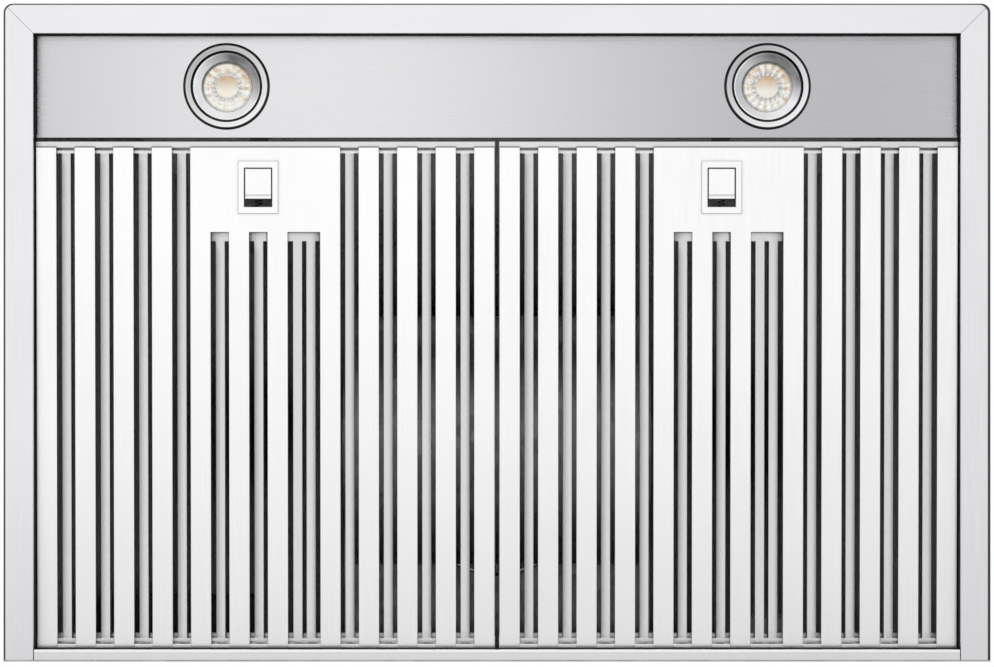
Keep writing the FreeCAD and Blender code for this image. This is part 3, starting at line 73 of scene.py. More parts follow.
class Paint:
    """A material in the making, with short ways to add nodes and join them."""

    def __init__(self, name):
        self.material = bpy.data.materials.new(name)
        self.material.use_nodes = True
        self.tree = self.material.node_tree
        self.shader = self.tree.nodes["Principled BSDF"]

    def node(self, kind, **settings):
        made = self.tree.nodes.new(kind)
        for key, value in settings.items():
            setattr(made, key, value)
        return made

    def join(self, output, socket):
        self.tree.links.new(output, socket)

    def fix(self, **values):
        """Set plain numbers and colours on the shader's own sockets."""
        for key, value in values.items():
            self.shader.inputs[key.replace("_", " ")].default_value = value

    def place(self):
        """Coordinates that travel with the piece, in metres."""
        return self.node("ShaderNodeTexCoord").outputs["Object"]

    def noise(self, scale, detail=2.0, stretch=(1, 1, 1)):
        """Noise from 0 to 1, drawn out along an axis where stretch is small."""
        mapping = self.node("ShaderNodeMapping")
        mapping.inputs["Scale"].default_value = stretch
        self.join(self.place(), mapping.inputs["Vector"])
        texture = self.node("ShaderNodeTexNoise")
        texture.inputs["Scale"].default_value = scale
        texture.inputs["Detail"].default_value = detail
        self.join(mapping.outputs["Vector"], texture.inputs["Vector"])
        return texture.outputs["Fac"]

    def span(self, value, low, high, to_low=0.0, to_high=1.0):
        """Stretch a value from one range to another and hold it there."""
        ranged = self.node("ShaderNodeMapRange")
        ranged.inputs["From Min"].default_value = low
        ranged.inputs["From Max"].default_value = high
        ranged.inputs["To Min"].default_value = to_low
        ranged.inputs["To Max"].default_value = to_high
        self.join(value, ranged.inputs["Value"])
        return ranged.outputs["Result"]

    def mix(self, factor, first, second):
        """Blend two colours, each a socket or a plain colour."""
        mixer = self.node("ShaderNodeMix", data_type="RGBA")
        self.join(factor, mixer.inputs[0])
        for socket, colour in ((mixer.inputs[6], first), (mixer.inputs[7], second)):
            if isinstance(colour, bpy.types.NodeSocket):
                self.join(colour, socket)
            else:
                socket.default_value = (*colour, 1)
        return mixer.outputs[2]

    def edges(self, radius):
        """1 along edges and folds, 0 on open faces, and the rounded normal that goes with it."""
        bevel = self.node("ShaderNodeBevel", samples=6)
        bevel.inputs["Radius"].default_value = radius
        geometry = self.node("ShaderNodeNewGeometry")
        turned = self.node("ShaderNodeVectorMath", operation="DOT_PRODUCT")
        self.join(bevel.outputs["Normal"], turned.inputs[0])
        self.join(geometry.outputs["True Normal"], turned.inputs[1])
        return self.span(turned.outputs["Value"], 0.99, 0.72), bevel.outputs["Normal"]

    def crevices(self, distance, way=None, open_share=0.95, closed_share=0.25):
        """1 deep in a gap, 0 in the open; way is where to look for what closes the gap."""
        occlusion = self.node("ShaderNodeAmbientOcclusion", samples=8)
        occlusion.inputs["Distance"].default_value = distance
        if way:
            self.join(way, occlusion.inputs["Normal"])
        return self.span(occlusion.outputs["AO"], open_share, closed_share)

    def toward(self, centre, way, reach):
        """How far a point lies from a centre along a direction: -1 and 1 at the ends of the reach."""
        offset = self.node("ShaderNodeVectorMath", operation="SUBTRACT")
        self.join(self.place(), offset.inputs[0])
        offset.inputs[1].default_value = centre
        along = self.node("ShaderNodeVectorMath", operation="DOT_PRODUCT")
        self.join(offset.outputs["Vector"], along.inputs[0])
        along.inputs[1].default_value = Vector(way).normalized() / reach
        return along.outputs["Value"]

    def reckon(self, operation, first, second):
        """Join two values by one sum."""
        step = self.node("ShaderNodeMath", operation=operation)
        self.join(first, step.inputs[0])
        self.join(second, step.inputs[1])
        return step.outputs["Value"]

    def polar(self, centre, radius, across=(1, 0, 0), ahead=(0, 1, 0)):
        """How far a point lies from a round piece's axis, 1 at its radius, and the angle round it."""
        first = self.toward(centre, across, radius)
        second = self.toward(centre, ahead, radius)
        parts = self.node("ShaderNodeCombineXYZ")
        self.join(first, parts.inputs["X"])
        self.join(second, parts.inputs["Y"])
        reach = self.node("ShaderNodeVectorMath", operation="LENGTH")
        self.join(parts.outputs["Vector"], reach.inputs[0])
        return reach.outputs["Value"], self.reckon("ARCTAN2", second, first)

    def downward(self, share):
        """The surface normal turned part of the way down, as the flats of fine turned steps face."""
        geometry = self.node("ShaderNodeNewGeometry")
        lowered = self.node("ShaderNodeVectorMath", operation="ADD")
        self.join(geometry.outputs["Normal"], lowered.inputs[0])
        lowered.inputs[1].default_value = (0, 0, -share)
        evened = self.node("ShaderNodeVectorMath", operation="NORMALIZE")
        self.join(lowered.outputs["Vector"], evened.inputs[0])
        return evened.outputs["Vector"]

    def facing_down(self, wall=-0.8, flat=-0.95):
        """1 on faces that look straight down, 0 on walls."""
        geometry = self.node("ShaderNodeNewGeometry")
        parts = self.node("ShaderNodeSeparateXYZ")
        self.join(geometry.outputs["True Normal"], parts.inputs["Vector"])
        return self.span(parts.outputs["Z"], wall, flat)

    def bump(self, height, strength, distance, normal=None):
        bumped = self.node("ShaderNodeBump")
        bumped.inputs["Strength"].default_value = strength
        bumped.inputs["Distance"].default_value = distance
        self.join(height, bumped.inputs["Height"])
        if normal:
            self.join(normal, bumped.inputs["Normal"])
        self.join(bumped.outputs["Normal"], self.shader.inputs["Normal"])


def scaled(colour, share):
    return tuple(channel * share for channel in colour)


def metal(
    name, colour, grain, roughness, edge=0.35, edge_radius=1.0 * MM, crevice=0.35, depth=12 * MM, outline=None
):
    """Brushed sheet metal: fine scratches along the grain and broad clouding, with painted shade along edges
    and folds and in gaps.
    """
    paint = Paint(name)
    scratches = paint.noise(1.0, 4.0, grain)
    clouds = paint.noise(7.0, 3.0)
    streaked = paint.mix(paint.span(scratches, 0.3, 0.7), scaled(colour, 0.95), scaled(colour, 1.04))
    clouded = paint.mix(paint.span(clouds, 0.35, 0.7), streaked, scaled(colour, 0.96))
    # Painted shade: edges and folds darkened towards the edge share of the colour, gaps found by occlusion
    # towards the crevice share.
    rim, rounded = paint.edges(edge_radius)
    edged = paint.mix(rim, clouded, scaled(colour, edge))
    shaded = paint.mix(paint.crevices(depth), edged, scaled(colour, crevice))
    if outline:
        shaded = outline(paint, shaded)
    paint.join(shaded, paint.shader.inputs["Base Color"])
    dullness = paint.span(scratches, 0.25, 0.75, roughness - 0.05, roughness + 0.07)
    paint.join(dullness, paint.shader.inputs["Roughness"])
    paint.bump(scratches, 0.12, 0.02 * MM, rounded)
    paint.fix(Metallic=1.0)
    return paint.material


def rim_outline(paint, colour):
    """Painted shade: a dark line along the outer edge of the rim's bottom bend, widest on the right side."""
    corner = 7 * MM
    line = 1.2 * MM
    extra_right = 1.1 * MM
    extra_left = 0.4 * MM
    bend_start = 1.4 * MM
    bend_end = 2.2 * MM
    any_height = 10
    # Colour of the painted shade line
    black = (0.07, 0.07, 0.073)
    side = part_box("right_fascia")[1].x
    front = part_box("front_fascia")[0].y
    rear = 2 * corner
    inset = Vector((side - corner, (rear - front) / 2 - corner, any_height))
    middle = Vector((0, (rear + front) / 2, 0))
    lie = paint.place()
    steps = (("SUBTRACT", middle), ("ABSOLUTE", None), ("SUBTRACT", inset), ("MAXIMUM", Vector()))
    for operation, other in steps:
        step = paint.node("ShaderNodeVectorMath", operation=operation)
        paint.join(lie, step.inputs[0])
        if other:
            step.inputs[1].default_value = other
        lie = step.outputs["Vector"]
    reach = paint.node("ShaderNodeVectorMath", operation="LENGTH")
    paint.join(lie, reach.inputs[0])
    across = paint.toward(middle, (1, 0, 0), side)
    right = paint.span(across, 0.98, 0.99, 0, extra_right)
    left = paint.span(across, -0.98, -0.99, 0, extra_left)
    edge = paint.reckon("ADD", reach.outputs["Value"], paint.reckon("ADD", right, left))
    outer = paint.span(edge, corner - line, corner - 0.6 * line)
    bottom = paint.span(paint.toward((0, 0, 0), (0, 0, 1), 1.0), bend_end, bend_start)
    return paint.mix(paint.reckon("MULTIPLY", outer, bottom), colour, black)


def rail_front(paint, colour):
    """Painted highlight: a bright line along the rear rail's front bend, beside the filters."""
    bend = 1.6 * MM
    # Colour of the painted highlight
    white = (0.98, 0.98, 0.98)
    start = Vector((0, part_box("rear_rail")[0].y + bend, 0))
    along = paint.toward(start, (0, -1, 0), bend)
    return paint.mix(paint.span(along, -0.2, 0.1), rim_outline(paint, colour), white)


def frame_rear(paint, colour):
    """Painted light: the rear lip of a filter's frame, a bend that closes the slots and lies in shade, is
    painted pale.
    """
    lip = 12 * MM
    pale = (0.95, 0.95, 0.95)
    start = Vector((0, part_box("left_filter_frame")[1].y - lip, 0))
    along = paint.toward(start, (0, 1, 0), lip)
    return paint.mix(paint.span(along, 0, 0.1), colour, pale)


def strip_front(paint, colour):
    """Painted shadow: a dark line along the front ends of the filter strips."""
    line_start = 0.5 * MM
    line_end = 0.9 * MM
    dark = (0.12, 0.12, 0.12)
    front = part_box("left_latch_plate")[0].y
    behind = paint.toward((0, front, 0), (0, 1, 0), 1.0)
    return paint.mix(paint.span(behind, line_end, line_start), colour, dark)


def lip_lines():
    """How far out the rim's side lips stand, and the y of its front lip, where they meet the panel."""
    lip_gap = 0.5 * MM
    panel_lap = 7.5 * MM
    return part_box("rear_rail")[1].x + lip_gap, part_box("light_panel")[0].y + panel_lap


def panel_steel(name, colour):
    """Brushed sheet with a painted band of sheen, brightest left of the middle, and painted light beside the
    lips, where they shade it.
    """
    paint = Paint(name)
    scratches = paint.span(paint.noise(1.0, 4.0, GRAIN_X), 0.3, 0.7)
    # Painted sheen: a broad band of light across the panel, with a shaded tone between the bright parts.
    band_length = 0.8
    brightest_x = -0.13
    turns = 2 * math.pi / band_length
    radians_per_scale = 20
    band = paint.node("ShaderNodeTexWave", wave_type="BANDS", bands_direction="X", wave_profile="SIN")
    band.inputs["Scale"].default_value = turns / radians_per_scale
    band.inputs["Phase Offset"].default_value = math.pi - brightest_x * turns
    band.inputs["Distortion"].default_value = 0.4
    paint.join(paint.place(), band.inputs["Vector"])
    red, green, blue = colour
    bluish = (red, green * 0.994, blue * 1.02)
    shaded_tone = paint.mix(scratches, scaled(bluish, 0.75), scaled(bluish, 0.82))
    bright = paint.mix(scratches, scaled(colour, 1.14), scaled(colour, 1.24))
    banded = paint.mix(band.outputs["Fac"], shaded_tone, bright)
    side, front = lip_lines()
    side -= SHADE_STRIP
    front += SHADE_STRIP
    # Painted light: the panel is lightened in a border beside the lips and the shade strips on them.
    border = 2.6 * MM
    inset = (
        paint.span(paint.toward((-side, 0, 0), (1, 0, 0), border), 1, 0),
        paint.span(paint.toward((side, 0, 0), (-1, 0, 0), border), 1, 0),
        paint.span(paint.toward((0, front, 0), (0, 1, 0), border), 1, 0),
    )
    beside = paint.reckon("MAXIMUM", paint.reckon("MAXIMUM", inset[0], inset[1]), inset[2])
    lightened = paint.mix(beside, banded, scaled(colour, 1.65))
    paint.join(lightened, paint.shader.inputs["Base Color"])
    paint.join(paint.span(scratches, 0, 1, 0.22, 0.34), paint.shader.inputs["Roughness"])
    paint.bump(scratches, 0.14, 0.02 * MM)
    paint.fix(Metallic=1.0)
    return paint.material


def channel_steel(name, colour, low, high):
    """Filter channels: pale flats with painted shadow on the filter's outer side, painted light towards the
    rear and on the ends, walls painted black as shade.
    """
    paint = Paint(name)
    cap = 2.7 * MM
    shadow_depth = 11 * MM
    wall_depth = 9 * MM
    scratches = paint.noise(1.0, 4.0, GRAIN_Y)
    middle = (low + high) / 2
    half = (high.y - low.y) / 2
    # Painted light: the flats grow lighter towards the rear.
    rearward = paint.toward(middle, (0, 1, 0), half)
    dim = paint.mix(paint.span(rearward, -1, 1), scaled(colour, 0.92), scaled(colour, 1.03))
    pale = paint.mix(paint.span(rearward, -1, 1), scaled(colour, 1.01), scaled(colour, 1.13))
    streaked = paint.mix(paint.span(scratches, 0.3, 0.7), dim, pale)
    # Painted shadow: occlusion looked for towards the filter's outer side darkens that side of each flat.
    outward = paint.span(paint.toward(middle, (1, 0, 0), 1.0), -1 * MM, 1 * MM, -0.85, 0.85)
    way = paint.node("ShaderNodeCombineXYZ")
    paint.join(outward, way.inputs["X"])
    way.inputs["Z"].default_value = -0.5
    shadow = paint.crevices(shadow_depth, way.outputs["Vector"], 0.47, 0.31)
    flats = paint.mix(shadow, streaked, scaled(colour, 0.12))
    # Painted light on the ends of the flats.
    from_middle = paint.node("ShaderNodeMath", operation="ABSOLUTE")
    paint.join(rearward, from_middle.inputs[0])
    ends = paint.span(from_middle.outputs["Value"], 1 - 1.1 * cap / half, 1 - cap / half)
    undersides = paint.mix(ends, flats, scaled(colour, 1.1))
    # Painted shade: the walls of the gaps darkened almost to black, and the edges darkened.
    walls = paint.mix(paint.crevices(wall_depth), streaked, scaled(colour, 0.03))
    rim, rounded = paint.edges(0.8 * MM)
    faces = paint.mix(paint.facing_down(), walls, undersides)
    paint.join(paint.mix(rim, faces, scaled(colour, 0.4)), paint.shader.inputs["Base Color"])
    paint.join(paint.span(scratches, 0.25, 0.75, 0.42, 0.55), paint.shader.inputs["Roughness"])
    paint.bump(scratches, 0.12, 0.02 * MM, rounded)
    paint.fix(Metallic=1.0)
    return paint.material


def latch_steel(name, up, face):
    """Pressed latch tongue, bright on its face, with the wings and the bolt behind it painted black as shade,
    and its edges painted darker as shade.
    """
    sheet = 0.5 * MM
    black = (0.02, 0.02, 0.022)
    paint = Paint(name)
    scratches = paint.noise(1.0, 3.0, GRAIN_Y)
    bright = paint.mix(paint.span(scratches, 0.3, 0.7), scaled(STRIP, 0.95), STRIP)
    # Painted shade: everything behind the tongue's face is painted black.
    height = paint.toward(up * face, up, 1.0)
    shaded_behind = paint.mix(paint.span(height, sheet, 1.4 * sheet), bright, black)
    rim, rounded = paint.edges(0.9 * MM)
    paint.join(paint.mix(rim, shaded_behind, scaled(STRIP, 0.06)), paint.shader.inputs["Base Color"])
    paint.join(paint.span(scratches, 0.25, 0.75, 0.28, 0.38), paint.shader.inputs["Roughness"])
    paint.bump(scratches, 0.1, 0.02 * MM, rounded)
    paint.fix(Metallic=1.0)
    return paint.material


def galvanised(name, colour):
    """Zinc-coated sheet with its patches of crystals, and painted shade along edges and in gaps."""
    crystals_per_metre = 70.0
    paint = Paint(name)
    crystals = paint.node("ShaderNodeTexVoronoi")
    crystals.inputs["Scale"].default_value = crystals_per_metre
    paint.join(paint.place(), crystals.inputs["Vector"])
    shade = paint.node("ShaderNodeSeparateColor")
    paint.join(crystals.outputs["Color"], shade.inputs["Color"])
    spangled = paint.mix(shade.outputs["Red"], scaled(colour, 0.82), scaled(colour, 1.12))
    # Painted shade along edges and in gaps
    rim, rounded = paint.edges(0.8 * MM)
    edged = paint.mix(rim, spangled, scaled(colour, 0.6))
    shaded = paint.mix(paint.crevices(15 * MM), edged, scaled(colour, 0.4))
    paint.join(shaded, paint.shader.inputs["Base Color"])
    paint.join(paint.span(shade.outputs["Green"], 0.0, 1.0, 0.38, 0.52), paint.shader.inputs["Roughness"])
    paint.bump(paint.noise(220.0, 3.0), 0.1, 0.05 * MM, rounded)
    paint.fix(Metallic=0.9)
    return paint.material


def plastic(name, colour, roughness, grain_scale=1400.0):
    """Moulded plastic with a fine texture, edges drawn towards a middle grey, and faint clouding."""
    paint = Paint(name)
    clouds = paint.noise(30.0, 3.0)
    clouded = paint.mix(paint.span(clouds, 0.3, 0.7), scaled(colour, 0.88), scaled(colour, 1.1))
    rim, rounded = paint.edges(0.6 * MM)
    edge_grey = tuple(channel * 0.7 + 0.08 for channel in colour)
    paint.join(paint.mix(rim, clouded, edge_grey), paint.shader.inputs["Base Color"])
    grain = paint.noise(grain_scale, 2.0)
    dullness = paint.span(grain, 0.3, 0.7, roughness - 0.06, roughness + 0.08)
    paint.join(dullness, paint.shader.inputs["Roughness"])
    paint.bump(grain, 0.15, 0.03 * MM, rounded)
    return paint.material


def chrome_trim(name, centre, radius):
    """Turned lamp trim: fine rings round its centre, painted darker at the front left as shade, with bevels,
    walls and gaps painted dark as shade.
    """
    black = (0.02, 0.02, 0.022)
    charcoal = (0.045, 0.045, 0.047)
    outer_line = 2.0 * MM / radius
    ring_scale = 130.0
    paint = Paint(name)
    flat = paint.node("ShaderNodeMapping", vector_type="POINT")
    flat.inputs["Location"].default_value = (-centre.x, -centre.y, 0)
    flat.inputs["Scale"].default_value = (1, 1, 0)
    paint.join(paint.place(), flat.inputs["Vector"])
    rings = paint.node("ShaderNodeTexWave", wave_type="RINGS", rings_direction="Z", wave_profile="SIN")
    rings.inputs["Scale"].default_value = ring_scale
    rings.inputs["Distortion"].default_value = 0.4
    paint.join(flat.outputs["Vector"], rings.inputs["Vector"])
    # Painted sheen: lighter towards the rear right, with a shaded tone at the front left.
    sheen = paint.span(paint.toward(centre, (0.5, 0.87, 0), radius), -1, 1)
    shaded_tone = paint.mix(rings.outputs["Fac"], (0.32, 0.32, 0.325), (0.44, 0.44, 0.445))
    bright = paint.mix(rings.outputs["Fac"], (0.70, 0.70, 0.705), (0.82, 0.82, 0.825))
    # Painted shade: walls black, a charcoal line at the outer bevel, and black in the gaps.
    walls = paint.mix(paint.facing_down(-0.75, -0.9), black, paint.mix(sheen, shaded_tone, bright))
    reach = paint.polar(centre, radius)[0]
    lined = paint.mix(paint.span(reach, 1 - 1.1 * outer_line, 1 - 0.9 * outer_line), walls, charcoal)
    paint.join(paint.mix(paint.crevices(7 * MM), lined, black), paint.shader.inputs["Base Color"])
    paint.join(paint.span(rings.outputs["Fac"], 0.0, 1.0, 0.2, 0.3), paint.shader.inputs["Roughness"])
    paint.bump(rings.outputs["Fac"], 0.1, 0.03 * MM)
    paint.fix(Metallic=1.0)
    return paint.material


def spun_button(name, centre, radius):
    """A spun steel button: fine rings, a shallow dish in the middle painted darker as shade, and a dark edge.
    """
    ring_phase = 70
    paint = Paint(name)
    reach = paint.polar(centre, radius, ahead=(0, 0, 1))[0]
    wave = paint.node("ShaderNodeMath", operation="SINE")
    paint.join(paint.span(reach, 0, 1, 0, ring_phase), wave.inputs[0])
    rings = paint.span(wave.outputs["Value"], -1, 1)
    face = paint.mix(rings, (0.66, 0.66, 0.67), (0.78, 0.78, 0.79))
    # Painted shade in the dish
    dish = paint.span(reach, 0.66, 0.58)
    dished = paint.mix(dish, face, (0.60, 0.60, 0.61))
    edge = paint.mix(paint.span(reach, 0.88, 0.96), dished, (0.16, 0.16, 0.165))
    paint.join(edge, paint.shader.inputs["Base Color"])
    paint.join(paint.span(rings, 0, 1, 0.22, 0.32), paint.shader.inputs["Roughness"])
    paint.bump(dish, 0.4, 0.3 * MM)
    paint.fix(Metallic=1.0)
    return paint.material


def lamp_cone(name, centre, radius):
    """Finely stepped aluminium of the lamp's conical bezel, pale, with its front right side painted dark as a
    reflection.
    """
    paint = Paint(name)
    clouds = paint.span(paint.noise(60.0, 2.0), 0.35, 0.65)
    fine = paint.noise(700.0, 2.0)
    pale = paint.mix(clouds, (0.80, 0.80, 0.83), (0.88, 0.88, 0.89))
    dusk = paint.mix(clouds, (0.20, 0.20, 0.21), (0.36, 0.36, 0.37))
    # Painted reflection: the front right side darkened.
    shade = paint.span(paint.toward(centre, (0.62, -0.78, 0), radius), 0.1, 0.75)
    paint.join(paint.mix(shade, pale, dusk), paint.shader.inputs["Base Color"])
    paint.join(paint.span(fine, 0.2, 0.8, 0.3, 0.42), paint.shader.inputs["Roughness"])
    paint.bump(fine, 0.08, 0.02 * MM, paint.downward(1.6))
    paint.fix(Metallic=1.0)
    return paint.material


def lens_petals(name, centre, radius):
    """Silvered facets round the light source, streaked cream and amber, grey within, with painted light
    towards the wall and a rim painted dark as shade, darkest at the front.
    """
    streaks_round = 26
    streaks_across = 3
    paint = Paint(name)
    reach, angle = paint.polar(centre, radius)
    sweep = paint.node("ShaderNodeCombineXYZ")
    paint.join(paint.span(angle, -math.pi, math.pi, 0, streaks_round), sweep.inputs["X"])
    paint.join(paint.span(reach, 0, 1, 0, streaks_across), sweep.inputs["Y"])
    streaks = paint.node("ShaderNodeTexNoise")
    streaks.inputs["Scale"].default_value = 1.0
    streaks.inputs["Detail"].default_value = 3.0
    paint.join(sweep.outputs["Vector"], streaks.inputs["Vector"])
    tint = paint.node("ShaderNodeAttribute", attribute_name="tint").outputs["Fac"]
    tone = paint.reckon("ADD", streaks.outputs["Fac"], paint.span(tint, 0, 1, -0.1, 0.1))
    # Painted light: the facets grow lighter towards the wall.
    rearward = paint.span(paint.toward(centre, (0, 1, 0), radius), -0.6, 1.0, 0, 0.2)
    lit = paint.reckon("ADD", tone, rearward)
    warm = paint.mix(paint.span(lit, 0.36, 0.56), (0.68, 0.53, 0.39), (0.87, 0.79, 0.67))
    facet = paint.mix(paint.span(lit, 0.5, 0.72), warm, (0.90, 0.895, 0.87))
    speckle = paint.noise(700.0, 2.0)
    within = paint.reckon("MULTIPLY", paint.span(reach, 0.68, 0.56), paint.span(speckle, 0.42, 0.58))
    silver = paint.mix(within, facet, (0.56, 0.59, 0.62))
    # Painted shade: a dark ring round the rim, darkest at the front left.
    frontward = paint.span(paint.toward(centre, (-0.45, -0.9, 0), radius), -0.9, 0.7, 0.25, 0.95)
    shaded = paint.reckon("MULTIPLY", paint.span(reach, 0.87, 0.94), frontward)
    paint.join(paint.mix(shaded, silver, (0.12, 0.12, 0.10)), paint.shader.inputs["Base Color"])
    paint.join(paint.span(speckle, 0.2, 0.8, 0.25, 0.4), paint.shader.inputs["Roughness"])
    paint.bump(speckle, 0.05, 0.02 * MM, paint.downward(1.0))
    paint.fix(Metallic=0.8, Coat_Weight=0.3, Coat_Roughness=0.05)
    return paint.material


def phosphor(name, centre, radius):
    """The light source at the middle of a lens: pale cream towards the wall, painted darker and amber towards
    the front as shade.
    """
    paint = Paint(name)
    warm = paint.noise(160.0, 2.0)
    amber = paint.mix(paint.span(warm, 0.35, 0.65), (0.60, 0.43, 0.28), (0.70, 0.53, 0.37))
    cream = paint.mix(paint.span(warm, 0.35, 0.65), (0.88, 0.83, 0.70), (0.92, 0.90, 0.82))
    # Painted shade: darker and warmer towards the front.
    across = paint.span(paint.toward(centre, (0, 1, 0), radius), -0.7, 0.4)
    paint.join(paint.mix(across, amber, cream), paint.shader.inputs["Base Color"])
    paint.join(paint.span(warm, 0.2, 0.8, 0.25, 0.4), paint.shader.inputs["Roughness"])
    paint.bump(warm, 0.05, 0.02 * MM, paint.downward(1.0))
    paint.fix(Metallic=0.7, Coat_Weight=0.4, Coat_Roughness=0.04)
    return paint.material


def shade_strip_matt(name):
    """Matt black with a dusty bloom, for the strips that stand in for shade on the rim's lips and the rear
    rail.
    """
    paint = Paint(name)
    dust = paint.noise(260.0, 4.0)
    paint.join(
        paint.mix(paint.span(dust, 0.45, 0.8), (0.008, 0.008, 0.009), (0.02, 0.02, 0.021)),
        paint.shader.inputs["Base Color"],
    )
    paint.join(paint.span(dust, 0.2, 0.8, 0.75, 0.9), paint.shader.inputs["Roughness"])
    paint.bump(dust, 0.2, 0.05 * MM)
    paint.fix(Specular_IOR_Level=0.2)
    return paint.material


def looked_at(tree):
    """1 for rays that show a backdrop: straight to the eye, mirrored or through glass."""
    path = tree.nodes.new("ShaderNodeLightPath")
    shown = path.outputs["Is Camera Ray"]
    for ray in ("Is Glossy Ray", "Is Transmission Ray"):
        either = tree.nodes.new("ShaderNodeMath")
        either.operation = "MAXIMUM"
        tree.links.new(shown, either.inputs[0])
        tree.links.new(path.outputs[ray], either.inputs[1])
        shown = either.outputs["Value"]
    return shown


def floor_paint(name):
    """Pale matt studio floor with a trace of mottling, clear when seen from underneath."""
    paint = Paint(name)
    mottle = paint.noise(1.3, 4.0)
    paint.join(
        paint.mix(paint.span(mottle, 0.3, 0.7), (0.80, 0.80, 0.80), (0.86, 0.86, 0.86)),
        paint.shader.inputs["Base Color"],
    )
    paint.join(paint.span(mottle, 0.3, 0.7, 0.7, 0.85), paint.shader.inputs["Roughness"])
    glow_share = 0.3
    glow = paint.node("ShaderNodeEmission")
    glow.inputs["Color"].default_value = (0.93, 0.93, 0.93, 1)
    pale = paint.node("ShaderNodeMixShader")
    paint.join(paint.span(looked_at(paint.tree), 0, 1, 0, glow_share), pale.inputs["Fac"])
    paint.join(paint.shader.outputs["BSDF"], pale.inputs[1])
    paint.join(glow.outputs["Emission"], pale.inputs[2])
    sided = paint.node("ShaderNodeMixShader")
    paint.join(paint.node("ShaderNodeNewGeometry").outputs["Backfacing"], sided.inputs["Fac"])
    paint.join(pale.outputs["Shader"], sided.inputs[1])
    paint.join(paint.node("ShaderNodeBsdfTransparent").outputs["BSDF"], sided.inputs[2])
    paint.join(sided.outputs["Shader"], paint.tree.nodes["Material Output"].inputs["Surface"])
    return paint.material


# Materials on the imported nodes

STEEL = (0.77, 0.768, 0.785)
PANEL = (0.57, 0.57, 0.582)
STRIP = (0.915, 0.915, 0.912)
CHANNEL = (0.78, 0.78, 0.78)
FRAME = (0.69, 0.69, 0.69)
ZINC = (0.60, 0.62, 0.64)


def dress(names, material):
    """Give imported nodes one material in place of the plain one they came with."""
    for name in names:
        mesh = nodes[name].data
        mesh.materials.clear()
        mesh.materials.append(material)


def both(*names):
    return [f"{side}_{name}" for side in ("left", "right") for name in names]


def dress_canopy():
    """The steel skin, the light panel, the chimney and the zinc-coated sheets inside."""
    # Painted shade along the rim's edges and in its gaps, and a painted shade line on its outer edge; the
    # rear rail adds a painted highlight on its front bend.
    rim = {"edge": 0.4, "edge_radius": 0.7 * MM, "crevice": 0.45, "depth": 3 * MM, "outline": rim_outline}
    dress(["front_fascia"], metal("fascia_steel_x", STEEL, GRAIN_X, 0.30, **rim))
    dress(["rear_rail"], metal("rail_steel", STEEL, GRAIN_X, 0.30, **{**rim, "outline": rail_front}))
    dress(both("fascia"), metal("fascia_steel_y", STEEL, GRAIN_Y, 0.30, **rim))
    dress(["front_slope_panel"], metal("slope_steel", STEEL, GRAIN_X, 0.30))
    dress(both("slope_panel"), metal("side_slope_steel", STEEL, GRAIN_Y, 0.30))
    dress(["light_panel"], panel_steel("light_panel_steel", PANEL))
    dress(["lower_chimney", "upper_chimney"], metal("chimney_steel", STEEL, GRAIN_X, 0.30))
    zinc = galvanised("zinc_sheet", ZINC)
    dress(["back_panel", "top_plate", "chimney_bracket", "motor_plate"], zinc)
    dress(["blower_wrapper", "inlet_rings", "front_damper_flap", "rear_damper_flap"], zinc)
    dress(both("blower_side"), zinc)


def dress_filters():
    """The filters' strips, channels and frames, and the latches in them."""
    # Painted shade along edges and in gaps, with a painted shadow line at the strips' front ends and painted
    # light on the frames' rear lips.
    sheared = {"edge": 0.3, "edge_radius": 0.5 * MM, "crevice": 0.5, "depth": 3 * MM, "outline": strip_front}
    pressed = {"edge": 0.3, "edge_radius": 0.8 * MM, "crevice": 0.2, "depth": 3 * MM}
    folded = {"edge": 0.5, "edge_radius": 1.0 * MM, "crevice": 0.1, "depth": 6 * MM, "outline": frame_rear}
    dress(both("front_baffles", "latch_plate"), metal("filter_strip_steel", STRIP, GRAIN_Y, 0.32, **sheared))
    dress(both("latch_housing"), metal("latch_housing_steel", STRIP, GRAIN_Y, 0.32, **pressed))
    dress(both("filter_frame"), metal("filter_frame_steel", FRAME, GRAIN_X, 0.32, **folded))
    for side in ("left", "right"):
        low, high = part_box(f"{side}_rear_baffles")
        dress([f"{side}_rear_baffles"], channel_steel(f"{side}_channel_steel", CHANNEL, low, high))
        up, face = tongue_lie(side)[1:3]
        dress([f"{side}_latch_slide"], latch_steel(f"{side}_latch_steel", up, face))


def tongue_lie(side):
    """The way a latch tongue slides, the way up from it, and where its face and its rear end lie on these."""
    face_depth = 0.2 * MM
    slide = [joint for joint in frame["joints"] if joint["name"] == f"{side}_latch_slide"][0]
    along = Vector(slide["axis"])
    up = Vector((0, -along.z, along.y))
    places = [vertex.co for vertex in nodes[f"{side}_latch_slide"].data.vertices]
    face = min(up.dot(place) for place in places)
    rear = max(along.dot(place) for place in places if up.dot(place) < face + face_depth)
    return along, up, face, rear


def dress_lamps():
    """The lamps' trims and bezels, and the boards and sockets behind their lenses."""
    for side in ("left", "right"):
        low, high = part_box(f"{side}_lamp_trim")
        middle = (low + high) / 2
        dress([f"{side}_lamp_trim"], chrome_trim(f"{side}_lamp_chrome", middle, (high.x - low.x) / 2))
        low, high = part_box(f"{side}_lamp_housing")
        dress([f"{side}_lamp_housing"], lamp_cone(f"{side}_lamp_metal", middle, (high.x - low.x) / 2))
    dress(["led_boards"], plastic("led_board_white", (0.82, 0.80, 0.70), 0.3))
    dress(["lamp_sockets"], plastic("white_ceramic", (0.85, 0.84, 0.80), 0.25))


